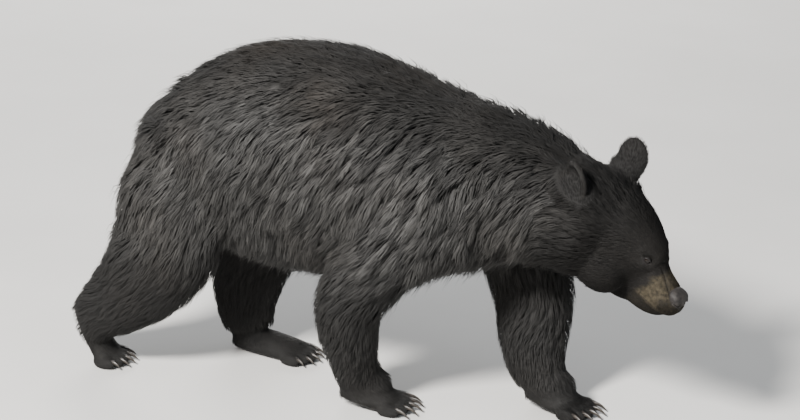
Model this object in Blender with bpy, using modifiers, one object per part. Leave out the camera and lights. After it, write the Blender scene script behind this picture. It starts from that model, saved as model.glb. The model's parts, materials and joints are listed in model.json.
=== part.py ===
"""A life-size black bear in mid stride, as the named solids of a still display model.

The bear faces +X, its left side is +Y, and +Z is up, in metres.  The solids carry the
outline out to the tips of the coat.  The body is modelled whole from lofted and rounded
masses, fused, and then parted with thin cuts into the pieces that a person would name.
"""

import math
from collections import namedtuple

import bmesh
import bpy
from mathutils import Matrix, Vector

# ---------------------------------------------------------------- driving dimensions

BACK_HEIGHT = 0.763      # floor to the highest hair of the back
BELLY_HEIGHT = 0.262     # floor to the hair of the belly
BODY_HALF_WIDTH = 0.222  # at the ribs
RUMP_X = -0.582          # last full section of the trunk
NECK_X = 0.440           # where the neck meets the head

NOSE_POINT = Vector((0.650, -0.084, 0.360))
HEAD_TURN = math.radians(18.5)   # toward the right side
HEAD_DROOP = math.radians(28.0)  # mouth line below level
HEAD_ROLL = math.radians(4.0)    # the left ear higher

FORE_TOE_SPREAD = 0.108  # width of a forepaw across its toes
HIND_TOE_SPREAD = 0.100
CLAW_LENGTH_FORE = 0.036
CLAW_LENGTH_HIND = 0.026
EYE_RADIUS = 0.0098
EAR_HEIGHT = 0.084
EAR_WIDTH = 0.073

CUT = 0.0006             # width of the gap that parts two neighbours
VOXEL = 0.0040           # grain at which the masses are fused
SMOOTHING_PASSES = 5
BODY_TRIANGLES = 2360    # of the fused body before it is parted
FINE_WEIGHT = 0.28       # how readily the face and feet give up triangles

SHARP_ANGLE = math.radians(50)   # an edge bent more than this is left sharp

MODEL_NAME = "black_bear"

# ---------------------------------------------------------------- colours and finish

Finish = namedtuple("Finish", "colour roughness")

FUR = Finish((0.030, 0.027, 0.026), 0.70)
MUZZLE_FUR = Finish((0.200, 0.140, 0.090), 0.65)
NOSE_SKIN = Finish((0.050, 0.040, 0.036), 0.38)
EYE_GLASS = Finish((0.022, 0.010, 0.006), 0.06)
CLAW_HORN = Finish((0.035, 0.028, 0.024), 0.35)

# ---------------------------------------------------------------- body plan

# A trunk or neck section stands upright across the body at one x.
TrunkSection = namedtuple("TrunkSection", "x top bottom half_width sway")

TRUNK_SECTIONS = (
    TrunkSection(RUMP_X, 0.490, 0.350, 0.080, 0.0),
    TrunkSection(-0.560, 0.537, 0.318, 0.122, 0.0),
    TrunkSection(-0.522, 0.592, 0.302, 0.162, 0.0),
    TrunkSection(-0.462, 0.652, 0.287, 0.188, 0.0),
    TrunkSection(-0.392, 0.706, 0.274, 0.205, 0.0),
    TrunkSection(-0.300, 0.749, BELLY_HEIGHT + 0.004, 0.216, 0.0),
    TrunkSection(-0.190, BACK_HEIGHT, BELLY_HEIGHT, BODY_HALF_WIDTH, 0.0),
    TrunkSection(-0.080, 0.750, BELLY_HEIGHT + 0.003, BODY_HALF_WIDTH, 0.0),
    TrunkSection(0.020, 0.727, 0.279, 0.212, 0.0),
    TrunkSection(0.120, 0.705, 0.310, 0.192, 0.0),
    TrunkSection(0.220, 0.680, 0.342, 0.168, -0.002),
    TrunkSection(0.300, 0.650, 0.356, 0.148, -0.008),
    TrunkSection(0.370, 0.614, 0.358, 0.134, -0.018),
    TrunkSection(NECK_X, 0.587, 0.354, 0.126, -0.032),
)

# A head section stands across the mouth line, `back` from the tip of the nose.
HeadSection = namedtuple("HeadSection", "back top bottom half_width")

HEAD_SECTIONS = (
    HeadSection(0.010, 0.010, -0.038, 0.022),
    HeadSection(0.022, 0.014, -0.056, 0.031),
    HeadSection(0.042, 0.019, -0.074, 0.037),
    HeadSection(0.066, 0.026, -0.089, 0.041),
    HeadSection(0.088, 0.036, -0.097, 0.042),
    HeadSection(0.105, 0.049, -0.101, 0.049),
    HeadSection(0.125, 0.066, -0.104, 0.067),
    HeadSection(0.150, 0.079, -0.110, 0.086),
    HeadSection(0.180, 0.091, -0.119, 0.099),
    HeadSection(0.215, 0.099, -0.126, 0.109),
    HeadSection(0.255, 0.103, -0.131, 0.116),
    HeadSection(0.295, 0.096, -0.130, 0.113),
    HeadSection(0.335, 0.086, -0.124, 0.104),
)

EYE_BACK = 0.102
EYE_UP = 0.0325
EYE_SIDE = 0.0285

# Each eye lies in a hollow between the brow and the bridge of the muzzle.
HOLLOW_BACK = 0.089
HOLLOW_SIDE = 0.036
HOLLOW_UP = 0.043
HOLLOW_REACH = 0.026
HOLLOW_DEPTH = 0.007

EAR_ROOT_BACK = 0.278
EAR_ROOT_UP = 0.069
EAR_ROOT_SIDE = 0.084
EAR_FACING = {-1: math.radians(110), 1: math.radians(103)}   # from straight ahead
EAR_LEAN = math.radians(12)      # of the ear's top, the way the bowl faces
EAR_THICKNESS = 0.030

# A limb station is a centre with its half depth fore and aft and its half width.
LimbStation = namedtuple("LimbStation", "centre half_depth half_width")


def limb_station(x, y, z, half_depth, half_width):
    return LimbStation(Vector((x, y, z)), half_depth, half_width)


# The near (right) foreleg stands upright under the body.
RIGHT_FORELEG = (
    limb_station(0.110, -0.125, 0.550, 0.105, 0.070),
    limb_station(0.075, -0.146, 0.450, 0.116, 0.078),
    limb_station(0.004, -0.154, 0.358, 0.094, 0.074),
    limb_station(-0.050, -0.153, 0.272, 0.080, 0.062),
    limb_station(-0.062, -0.134, 0.185, 0.072, 0.054),
    limb_station(-0.060, -0.110, 0.120, 0.058, 0.047),
    limb_station(-0.052, -0.094, 0.070, 0.052, 0.045),
)
# The far (left) foreleg reaches ahead.
LEFT_FORELEG = (
    limb_station(0.145, 0.118, 0.540, 0.110, 0.070),
    limb_station(0.178, 0.136, 0.430, 0.124, 0.078),
    limb_station(0.222, 0.140, 0.335, 0.106, 0.072),
    limb_station(0.254, 0.130, 0.250, 0.094, 0.062),
    limb_station(0.264, 0.115, 0.180, 0.086, 0.056),
    limb_station(0.276, 0.100, 0.115, 0.074, 0.050),
    limb_station(0.296, 0.090, 0.066, 0.060, 0.046),
)
# The near (right) hind leg is stretched behind, up on its toes.
RIGHT_HIND_LEG = (
    limb_station(-0.460, -0.105, 0.540, 0.110, 0.082),
    limb_station(-0.464, -0.132, 0.430, 0.138, 0.092),
    limb_station(-0.484, -0.146, 0.330, 0.132, 0.084),
    limb_station(-0.528, -0.146, 0.240, 0.110, 0.070),
    limb_station(-0.588, -0.138, 0.172, 0.088, 0.058),
    limb_station(-0.642, -0.130, 0.122, 0.068, 0.048),
    limb_station(-0.662, -0.124, 0.084, 0.052, 0.044),
)
# The far (left) hind leg is forward under the belly with its sole down.
LEFT_HIND_LEG = (
    limb_station(-0.455, 0.105, 0.540, 0.120, 0.082),
    limb_station(-0.415, 0.132, 0.430, 0.140, 0.092),
    limb_station(-0.392, 0.144, 0.335, 0.134, 0.084),
    limb_station(-0.400, 0.138, 0.255, 0.114, 0.070),
    limb_station(-0.408, 0.124, 0.182, 0.094, 0.058),
    limb_station(-0.406, 0.110, 0.115, 0.076, 0.050),
    limb_station(-0.394, 0.104, 0.066, 0.064, 0.046),
)

# A foot lies ahead of its ball, which is on the floor, and its sole rises to the heel.
Foot = namedtuple("Foot", "ball heading sole_length sole_slope spread claw_length")

FEET = {
    "forepaw_right": Foot(Vector((0.004, -0.080, 0.0)), math.radians(6), 0.078,
                          math.radians(12), FORE_TOE_SPREAD, CLAW_LENGTH_FORE),
    "forepaw_left": Foot(Vector((0.362, 0.078, 0.0)), math.radians(-10), 0.078,
                         math.radians(12), FORE_TOE_SPREAD, CLAW_LENGTH_FORE),
    "hindfoot_right": Foot(Vector((-0.650, -0.112, 0.0)), math.radians(4), 0.106,
                           math.radians(66), HIND_TOE_SPREAD, CLAW_LENGTH_HIND),
    "hindfoot_left": Foot(Vector((-0.292, 0.098, 0.0)), math.radians(-6), 0.120,
                          math.radians(3), HIND_TOE_SPREAD, CLAW_LENGTH_HIND),
}
TOES = 5

TAIL_STATIONS = (
    limb_station(-0.545, 0.0, 0.515, 0.030, 0.030),
    limb_station(-0.586, 0.0, 0.480, 0.028, 0.031),
    limb_station(-0.607, 0.0, 0.430, 0.023, 0.028),
    limb_station(-0.616, 0.0, 0.382, 0.015, 0.019),
)

# A limb is parted from the trunk by a sleeve round its stations that also holds the foot,
# and then across its own length at two of the stations.
Limb = namedtuple("Limb", "stations side foot upper middle middle_cut foot_cut")

LIMBS = (
    Limb(RIGHT_FORELEG, -1, "forepaw_right",
         "foreleg_right_upper", "foreleg_right_forearm", 3, 6),
    Limb(LEFT_FORELEG, 1, "forepaw_left",
         "foreleg_left_upper", "foreleg_left_forearm", 3, 6),
    Limb(RIGHT_HIND_LEG, -1, "hindfoot_right",
         "hindleg_right_thigh", "hindleg_right_shank", 3, 5),
    Limb(LEFT_HIND_LEG, 1, "hindfoot_left",
         "hindleg_left_thigh", "hindleg_left_shank", 3, 5),
)
SLEEVE_DEPTH = 0.014     # how far a sleeve stands off the limb fore and aft
SLEEVE_WIDTH = 0.034     # and toward its outer side
SLEEVE_FLARE = 0.008     # more room at each station down the limb
SLEEVE_SIDES = 16

NECK_CUT_POINT = Vector((0.195, 0.0, 0.520))
NECK_CUT_NORMAL = Vector((0.970, 0.0, 0.245))
HEAD_CUT_BACK = 0.325
MUZZLE_CUT_BACK = 0.086
MOUTH_POINT = Vector((-0.052, 0.0, -0.042))
MOUTH_NORMAL = Vector((0.157, 0.0, 1.0))

PIECE_FINISH = {"muzzle": MUZZLE_FUR, "lower_jaw": MUZZLE_FUR, "nose": NOSE_SKIN,
                "eye_right": EYE_GLASS, "eye_left": EYE_GLASS}


def main():
    clear_scene()
    parts = new_collection(MODEL_NAME)
    fused = fuse(body_masses())
    press_eye_hollows(fused)
    body = thinned(fused, BODY_TRIANGLES)
    body = part_across(body, Vector((0, 0, 0)), Vector((0, 0, 1)))[0]
    pieces = limb_pieces(body)
    pieces.update(head_pieces(pieces.pop("head_and_neck")))
    claws = {}
    for name, foot in FEET.items():
        sockets = joined([claw(place, foot.claw_length, CUT) for place in toe_places(foot)])
        pieces[name] = boolean(pieces[name], sockets, "DIFFERENCE")
        for toe, place in enumerate(toe_places(foot), 1):
            claws[f"{name}_claw_{toe}"] = claw(place, foot.claw_length, 0.0)
    for name, mesh in pieces.items():
        add_object(name, mesh, PIECE_FINISH.get(name, FUR), parts)
    for name, mesh in claws.items():
        add_object(name, mesh, CLAW_HORN, parts)
    stand_on_origin(parts)


# ---------------------------------------------------------------- frames


def head_frame():
    """Head axes at the tip of the nose: X ahead along the mouth line, Z up."""
    turn = Matrix.Rotation(-HEAD_TURN, 4, "Z")
    droop = Matrix.Rotation(HEAD_DROOP, 4, "Y")
    roll = Matrix.Rotation(HEAD_ROLL, 4, "X")
    return Matrix.Translation(NOSE_POINT) @ turn @ droop @ roll


def ear_frame(side):
    """Ear axes at its root: X the way the bowl faces, Z up along the ear."""
    root = head_frame() @ Vector((-EAR_ROOT_BACK, side * EAR_ROOT_SIDE, EAR_ROOT_UP))
    facing = side * EAR_FACING[side] - HEAD_TURN
    lean = Matrix.Rotation(EAR_LEAN, 4, "Y")
    return Matrix.Translation(root) @ Matrix.Rotation(facing, 4, "Z") @ lean


def foot_frame(foot):
    """Foot axes at the ball of the foot: X toward the toes, Z up."""
    return Matrix.Translation(foot.ball) @ Matrix.Rotation(foot.heading, 4, "Z")


# ---------------------------------------------------------------- lofts and rounded masses


def catmull_rom(before, start, end, after, t):
    """Value a fraction t of the way from start to end, with smooth slopes."""
    return 0.5 * (
        2 * start
        + (end - before) * t
        + (2 * before - 5 * start + 4 * end - after) * t * t
        + (3 * start - before - 3 * end + after) * t ** 3
    )


def smooth_stations(stations, steps):
    """More stations, on a smooth curve through the given ones."""
    last = len(stations) - 1
    finer = []
    for index in range(last):
        around = [stations[min(max(index + k, 0), last)] for k in (-1, 0, 1, 2)]
        for step in range(steps):
            t = step / steps
            fields = zip(*around)
            finer.append(LimbStation(*(catmull_rom(*four, t) for four in fields)))
    finer.append(stations[-1])
    return finer


def domed(stations, start_dome, end_dome, rings):
    """The stations with a rounded end added before the first and after the last."""
    rounds = [math.sin(math.radians(78 * ring / rings)) for ring in range(1, rings + 1)]

    def dome(end, neighbour, length):
        away = (end.centre - neighbour.centre).normalized()
        caps = []
        for reach in rounds:
            shrink = math.sqrt(1 - reach * reach)
            centre = end.centre + away * length * reach
            caps.append(LimbStation(centre, end.half_depth * shrink, end.half_width * shrink))
        return caps

    first = dome(stations[0], stations[1], start_dome)
    last = dome(stations[-1], stations[-2], end_dome)
    return first[::-1] + stations + last


def loft(stations, across, start_dome, end_dome, sides=28, steps=4, dome_rings=4, level=False):
    """A closed tube of rounded sections, across the line of the stations or all level."""
    line = smooth_stations(list(stations), steps)
    line = domed(line, start_dome, end_dome, dome_rings)
    shape = bmesh.new()
    rings = []
    for index, station in enumerate(line):
        behind = line[max(index - 1, 0)].centre
        ahead = line[min(index + 1, len(line) - 1)].centre
        along = Vector((0, 0, -1)) if level else (ahead - behind).normalized()
        side = (across - along * across.dot(along)).normalized()
        front = along.cross(side)
        ring = []
        for corner in range(sides):
            angle = 2 * math.pi * corner / sides
            offset = (side * station.half_width * math.cos(angle)
                      + front * station.half_depth * math.sin(angle))
            ring.append(shape.verts.new(station.centre + offset))
        rings.append(ring)
    for ring, following in zip(rings, rings[1:]):
        for corner in range(sides):
            after = (corner + 1) % sides
            shape.faces.new((ring[corner], ring[after], following[after]))
            shape.faces.new((ring[corner], following[after], following[corner]))
    shape.faces.new(rings[0])
    shape.faces.new(rings[-1])
    bmesh.ops.recalc_face_normals(shape, faces=shape.faces)
    return finished_mesh(shape, "loft")


def ellipsoid(frame, centre, radii, turn=Matrix.Identity(4), segments=24):
    """A closed ellipsoid in a frame, turned about its own centre."""
    place = frame @ Matrix.Translation(centre) @ turn @ Matrix.Diagonal((*radii, 1.0))
    shape = bmesh.new()
    bmesh.ops.create_uvsphere(shape, u_segments=segments, v_segments=segments // 2,
                              radius=1.0, matrix=place)
    return finished_mesh(shape, "ellipsoid")


def finished_mesh(shape, name):
    mesh = bpy.data.meshes.new(name)
    shape.to_mesh(mesh)
    shape.free()
    return mesh


# ---------------------------------------------------------------- masses of the body


def body_masses():
    """Every overlapping mass that is fused into the body."""
    masses = [trunk_mass(), head_mass(), loft(TAIL_STATIONS, Vector((0, 1, 0)), 0.02, 0.02)]
    masses += face_masses()
    masses += [ear_mass(side) for side in (-1, 1)]
    for stations in (RIGHT_FORELEG, LEFT_FORELEG, RIGHT_HIND_LEG, LEFT_HIND_LEG):
        masses.append(loft(stations, Vector((0, 1, 0)), 0.06, 0.02))
    masses += muscle_masses()
    for foot in FEET.values():
        masses += foot_masses(foot)
    return masses


def trunk_mass():
    stations = []
    for section in TRUNK_SECTIONS:
        centre = Vector((section.x, section.sway, (section.top + section.bottom) / 2))
        half_depth = (section.top - section.bottom) / 2
        stations.append(LimbStation(centre, half_depth, section.half_width))
    return loft(stations, Vector((0, 1, 0)), 0.022, 0.08, sides=40)


def head_mass():
    frame = head_frame()
    stations = []
    for section in HEAD_SECTIONS:
        middle = (section.top + section.bottom) / 2
        centre = frame @ Vector((-section.back, 0, middle))
        half_depth = (section.top - section.bottom) / 2
        stations.append(LimbStation(centre, half_depth, section.half_width))
    across = frame.to_3x3() @ Vector((0, 1, 0))
    return loft(stations, across, 0.010, 0.05, sides=40)


def face_masses():
    """Brows, cheeks and the pads of the upper lip, on both sides of the head."""
    frame = head_frame()
    masses = []
    for side in (-1, 1):
        masses.append(ellipsoid(frame, Vector((-0.124, side * 0.027, 0.042)),
                                (0.022, 0.015, 0.012)))
        masses.append(ellipsoid(frame, Vector((-0.180, side * 0.066, -0.034)),
                                (0.072, 0.040, 0.062)))
        masses.append(ellipsoid(frame, Vector((-0.034, side * 0.018, -0.026)),
                                (0.026, 0.020, 0.024)))
    return masses


def ear_mass(side):
    """A rounded cup: an upright disc with a bowl hollowed in the face that looks out."""
    frame = ear_frame(side)
    radii = Vector((EAR_THICKNESS / 2, EAR_WIDTH / 2, EAR_HEIGHT * 0.56))
    middle = Vector((0, 0, EAR_HEIGHT - radii.z))
    disc = ellipsoid(frame, middle, radii)
    bowl = ellipsoid(frame, middle + Vector((EAR_THICKNESS * 0.52, 0, 0.002)),
                     (radii.x * 1.25, radii.y * 0.74, radii.z * 0.76))
    return boolean(disc, bowl, "DIFFERENCE")


def muscle_masses():
    """Shoulder blades, haunches and the hump of fur on the withers."""
    world = Matrix.Identity(4)
    masses = []
    for side, shoulder_x, haunch_x in ((-1, 0.105, -0.452), (1, 0.150, -0.440)):
        masses.append(ellipsoid(world, Vector((shoulder_x, side * 0.125, 0.490)),
                                (0.126, 0.078, 0.152), Matrix.Rotation(-0.25, 4, "Y")))
        masses.append(ellipsoid(world, Vector((haunch_x, side * 0.110, 0.440)),
                                (0.140, 0.100, 0.165)))
    return masses


def foot_masses(foot):
    """Ball, sole and toes of one foot, resting on the floor."""
    frame = foot_frame(foot)
    half_spread = foot.spread / 2
    heel = Vector((-math.cos(foot.sole_slope), 0, math.sin(foot.sole_slope)))
    sole = (
        LimbStation(frame @ Vector((0.012, 0, 0.020)), 0.025, half_spread * 0.86),
        LimbStation(frame @ (heel * foot.sole_length * 0.5 + Vector((0, 0, 0.023))),
                    0.029, half_spread * 0.84),
        LimbStation(frame @ (heel * foot.sole_length + Vector((0, 0, 0.026))),
                    0.032, half_spread * 0.72),
    )
    across = frame.to_3x3() @ Vector((0, 1, 0))
    masses = [loft(sole, across, 0.02, 0.022)]
    for place in toe_places(foot):
        masses.append(ellipsoid(place, Vector((0, 0, 0)), (0.029, 0.0135, 0.0175)))
    return masses


def toe_places(foot):
    """The frame of each toe: they fan out in an arc, the middle one furthest ahead."""
    frame = foot_frame(foot)
    places = []
    for toe in range(TOES):
        across = (toe - (TOES - 1) / 2) / ((TOES - 1) / 2)
        ahead = 0.036 - 0.016 * across * across
        centre = Vector((ahead, across * (foot.spread / 2 - 0.0125), 0.0140))
        fan = Matrix.Rotation(across * math.radians(12), 4, "Z")
        places.append(frame @ Matrix.Translation(centre) @ fan)
    return places


# ---------------------------------------------------------------- claws


def claw(toe, length, skin):
    """A curved horn that leaves the front of a toe and points down, `skin` thicker all round."""
    arc = math.radians(62)
    radius = length / arc
    root = Vector((0.020, 0, 0.004))
    stations = []
    for step in range(3):
        t = step / 2
        bend = math.radians(-8) + arc * t
        centre = root + Vector((radius * (math.sin(bend) - math.sin(math.radians(-8))), 0,
                                radius * (math.cos(bend) - math.cos(math.radians(-8)))))
        thickness = 0.0046 * (1 - t) ** 0.7 + 0.0010
        stations.append(LimbStation(toe @ centre, thickness + skin, thickness * 0.72 + skin))
    across = toe.to_3x3() @ Vector((0, 1, 0))
    return loft(stations, across, 0.002 + skin, 0.0008 + skin, sides=6, steps=1, dome_rings=0)


# ---------------------------------------------------------------- fusing and thinning


def joined(meshes):
    """One mesh that holds all the given ones, which are used up."""
    shape = bmesh.new()
    for mesh in meshes:
        shape.from_mesh(mesh)
        bpy.data.meshes.remove(mesh)
    return finished_mesh(shape, "joined")


def fuse(meshes):
    """One smooth closed surface round all the meshes."""
    body = helper("fused", joined(meshes))
    remesh = body.modifiers.new("fuse", "REMESH")
    remesh.mode = "VOXEL"
    remesh.voxel_size = VOXEL
    smooth = body.modifiers.new("smooth", "SMOOTH")
    smooth.factor = 0.5
    smooth.iterations = SMOOTHING_PASSES
    return evaluated_mesh(body)


def press_eye_hollows(mesh):
    """Sinks the surface round each eye toward the middle of the head."""
    frame = head_frame()
    into_head = frame.inverted()
    for vertex in mesh.vertices:
        spot = into_head @ vertex.co
        side = math.copysign(1.0, spot.y)
        off_middle = spot - Vector((-HOLLOW_BACK, side * HOLLOW_SIDE, HOLLOW_UP))
        reach = off_middle.length / HOLLOW_REACH
        if reach < 1.0:
            inward = frame.to_3x3() @ Vector((-0.64, -side * 0.50, -0.58)).normalized()
            vertex.co += inward * HOLLOW_DEPTH * (1.0 - reach * reach) ** 2
    mesh.update()


def thinned(mesh, triangles):
    """The surface with far fewer triangles, most of them kept on the face and feet."""
    body = helper("thinned", mesh)
    group = body.vertex_groups.new(name="plain")
    nose = head_frame().inverted()
    for vertex in mesh.vertices:
        group.add([vertex.index], plainness(vertex.co, nose), "REPLACE")
    decimate = body.modifiers.new("thin", "DECIMATE")
    decimate.ratio = triangles / (2 * len(mesh.polygons))
    decimate.vertex_group = group.name
    return evaluated_mesh(body)


def plainness(point, into_head):
    """1 on the trunk, falling to FINE_WEIGHT on the face, ears and feet."""
    in_head = into_head @ point
    detail = max(0.0, min(1.0, 1.25 + in_head.x / 0.22))
    detail = max(detail, max(0.0, min(0.8, (0.075 - point.z) / 0.030)))
    for side in (-1, 1):
        reach = (point - ear_frame(side) @ Vector((0, 0, EAR_HEIGHT / 2))).length
        detail = max(detail, max(0.0, min(1.0, (0.085 - reach) / 0.030)))
    return 1.0 - (1.0 - FINE_WEIGHT) * detail


# ---------------------------------------------------------------- parting


def boolean(mesh, tool, operation):
    """The mesh cut by, or kept inside, another closed mesh.  Both are used up."""
    work = helper("work", mesh)
    cutter = helper("cutter", tool)
    modifier = work.modifiers.new("cut", "BOOLEAN")
    modifier.operation = operation
    modifier.object = cutter
    result = evaluated_mesh(work)
    bpy.data.objects.remove(cutter)
    return result


def part_round(mesh, make_region):
    """(the piece inside a region, the rest), with a thin gap between them."""
    inside = boolean(mesh.copy(), make_region(0.0), "INTERSECT")
    outside = boolean(mesh, make_region(CUT), "DIFFERENCE")
    return inside, outside


def part_across(mesh, point, normal):
    """(the piece ahead of a plane, the piece behind it), with a thin gap between them."""
    ahead = boolean(mesh.copy(), half_space(point, normal, CUT / 2), "INTERSECT")
    behind = boolean(mesh, half_space(point, normal, -CUT / 2), "DIFFERENCE")
    return ahead, behind


def half_space(point, normal, start):
    """A box, larger than the bear, whose near face stands `start` past the plane."""
    size = 4.0
    direction = normal.normalized()
    centre = point + direction * (size / 2 + start)
    place = Matrix.Translation(centre) @ direction.to_track_quat("X", "Z").to_matrix().to_4x4()
    shape = bmesh.new()
    bmesh.ops.create_cube(shape, size=size, matrix=place)
    return finished_mesh(shape, "half_space")


def limb_sleeve(limb, extra):
    """The room that a limb and its foot take up, open-handed on the outer side."""
    stations = []
    for index, station in enumerate(limb.stations[:5]):
        following = limb.stations[index + 1].centre
        steepness = abs((following - station.centre).normalized().z)
        looser = SLEEVE_FLARE * index + extra
        centre = station.centre + Vector((0, limb.side * (SLEEVE_WIDTH - 0.008), 0))
        stations.append(LimbStation(
            centre, station.half_depth / steepness + SLEEVE_DEPTH + looser,
            station.half_width + SLEEVE_WIDTH + looser))
    ball = FEET[limb.foot].ball
    ankle = limb.stations[-1]
    room_behind = ankle.centre.x - ankle.half_depth - 0.050
    room_ahead = ball.x + 0.120
    half_depth = (room_ahead - room_behind) / 2
    for height in (0.070, -0.040):
        around_foot = Vector(((room_ahead + room_behind) / 2, ball.y, height))
        stations.append(LimbStation(around_foot, half_depth + extra, 0.095 + extra))
    return loft(stations, Vector((0, 1, 0)), 0.06 + extra, 0.03 + extra, SLEEVE_SIDES,
                steps=2, dome_rings=2, level=True)


def limb_pieces(body):
    """The parted pieces of the four limbs, the tail, the trunk, and the head with the neck."""
    pieces = {}
    for limb in LIMBS:
        leg, body = part_round(body, lambda extra, limb=limb: limb_sleeve(limb, extra))
        place, way = cut_across(limb, limb.middle_cut)
        below, pieces[limb.upper] = part_across(leg, place, way)
        place, way = cut_across(limb, limb.foot_cut)
        pieces[limb.foot], pieces[limb.middle] = part_across(below, place, way)
    pieces["tail"], body = part_round(body, tail_sleeve)
    front, pieces["trunk"] = part_across(body, NECK_CUT_POINT, NECK_CUT_NORMAL)
    pieces["head_and_neck"] = front
    return pieces


def cut_across(limb, index):
    """Where and which way a limb is cut at one of its stations: the way points to the foot."""
    before = limb.stations[index - 1].centre
    here = limb.stations[index].centre
    return here, (here - before).normalized()


def tail_sleeve(extra):
    stations = []
    for station in TAIL_STATIONS:
        centre = station.centre + Vector((-0.010, 0, 0))
        stations.append(LimbStation(centre, station.half_depth + 0.014 + extra,
                                    station.half_width + 0.010 + extra))
    return loft(stations, Vector((0, 1, 0)), 0.02 + extra, 0.03 + extra, SLEEVE_SIDES,
                steps=1, dome_rings=2)


def head_pieces(head_and_neck):
    """Neck, head, ears, eyes, muzzle, nose and lower jaw."""
    frame = head_frame()
    turn = frame.to_3x3()
    pieces = {}
    for name, side in (("right", -1), ("left", 1)):
        pieces[f"ear_{name}"], head_and_neck = part_round(
            head_and_neck, lambda extra, side=side: ear_sleeve(side, extra))
    head, pieces["neck"] = part_across(head_and_neck, frame @ Vector((-HEAD_CUT_BACK, 0, 0)),
                                       turn @ Vector((1, 0, 0)))
    for name, side in (("right", -1), ("left", 1)):
        centre = Vector((-EYE_BACK, side * EYE_SIDE, EYE_UP))
        head = boolean(head, eyeball(centre, CUT), "DIFFERENCE")
        pieces[f"eye_{name}"] = eyeball(centre, 0.0)
    muzzle, pieces["head"] = part_across(head, frame @ Vector((-MUZZLE_CUT_BACK, 0, 0)),
                                         turn @ Vector((1, 0, 0)))
    muzzle = boolean(muzzle, nose_pad(CUT), "DIFFERENCE")
    pieces["muzzle"], pieces["lower_jaw"] = part_across(
        muzzle, frame @ MOUTH_POINT, turn @ MOUTH_NORMAL)
    nose = nose_pad(0.0)
    for side in (-1, 1):
        nose = boolean(nose, nostril(side), "DIFFERENCE")
    pieces["nose"] = nose
    return pieces


def ear_sleeve(side, extra):
    """The room round an ear, down to its root."""
    radii = (EAR_THICKNESS / 2 + 0.010 + extra, EAR_WIDTH / 2 + 0.007 + extra,
             EAR_HEIGHT * 0.56 + 0.004 + extra)
    return ellipsoid(ear_frame(side), Vector((0, 0, EAR_HEIGHT * 0.44 + 0.004)), radii,
                     segments=16)


def eyeball(centre, extra):
    size = EYE_RADIUS + extra
    return ellipsoid(head_frame(), centre, (size, size, size), segments=12)


def nose_pad(extra):
    """The leathery end of the muzzle, wider than high."""
    radii = (0.017 + extra, 0.0235 + extra, 0.0175 + extra)
    return ellipsoid(head_frame(), Vector((-0.013, 0, -0.009)), radii, segments=12)


def nostril(side):
    turn = Matrix.Rotation(side * math.radians(28), 4, "X")
    return ellipsoid(head_frame(), Vector((0.001, side * 0.0105, -0.012)),
                     (0.009, 0.0042, 0.0058), turn, segments=8)


# ---------------------------------------------------------------- scene


def clear_scene():
    for obj in list(bpy.data.objects):
        bpy.data.objects.remove(obj)


def helper(name, mesh):
    """A passing object that carries modifiers."""
    obj = bpy.data.objects.new(name, mesh)
    bpy.context.scene.collection.objects.link(obj)
    return obj


def evaluated_mesh(obj):
    """The mesh that the object's modifiers give.  The object is used up."""
    bpy.context.view_layer.update()
    graph = bpy.context.evaluated_depsgraph_get()
    mesh = bpy.data.meshes.new_from_object(obj.evaluated_get(graph))
    bpy.data.objects.remove(obj)
    return mesh


def new_collection(name):
    collection = bpy.data.collections.new(name)
    bpy.context.scene.collection.children.link(collection)
    return collection


def add_object(name, mesh, finish, collection):
    mesh.shade_smooth()
    mesh.set_sharp_from_angle(angle=SHARP_ANGLE)
    obj = bpy.data.objects.new(name, mesh)
    obj.data.materials.append(finish_material(name, finish))
    collection.objects.link(obj)
    return obj


def stand_on_origin(collection):
    """Parents every piece to an empty, which stands the bear's box on the origin."""
    points = [obj.matrix_world @ vertex.co for obj in collection.objects
              for vertex in obj.data.vertices]
    low = Vector([min(point[axis] for point in points) for axis in range(3)])
    high = Vector([max(point[axis] for point in points) for axis in range(3)])
    middle = (low + high) / 2
    stand = bpy.data.objects.new("stand_point", None)
    stand.location = (-middle.x, -middle.y, -low.z)
    pieces = list(collection.objects)
    collection.objects.link(stand)
    for piece in pieces:
        piece.parent = stand


def finish_material(name, finish):
    material = bpy.data.materials.new(name)
    material.use_nodes = True
    shader = material.node_tree.nodes["Principled BSDF"]
    shader.inputs["Base Color"].default_value = (*finish.colour, 1.0)
    shader.inputs["Roughness"].default_value = finish.roughness
    return material


main()
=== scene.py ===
"""A life-size black bear in mid stride: its skin, coat, face and paws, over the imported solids.

The skin is built from the same body plan as the solids, then sunk by the depth of the coat.
The coat is made of tapered locks that root in the skin and lie back along the body.
"""

import json
import math
from collections import namedtuple

import bmesh
import bpy
import numpy as np
from mathutils import Matrix, Vector
from mathutils.kdtree import KDTree

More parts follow.
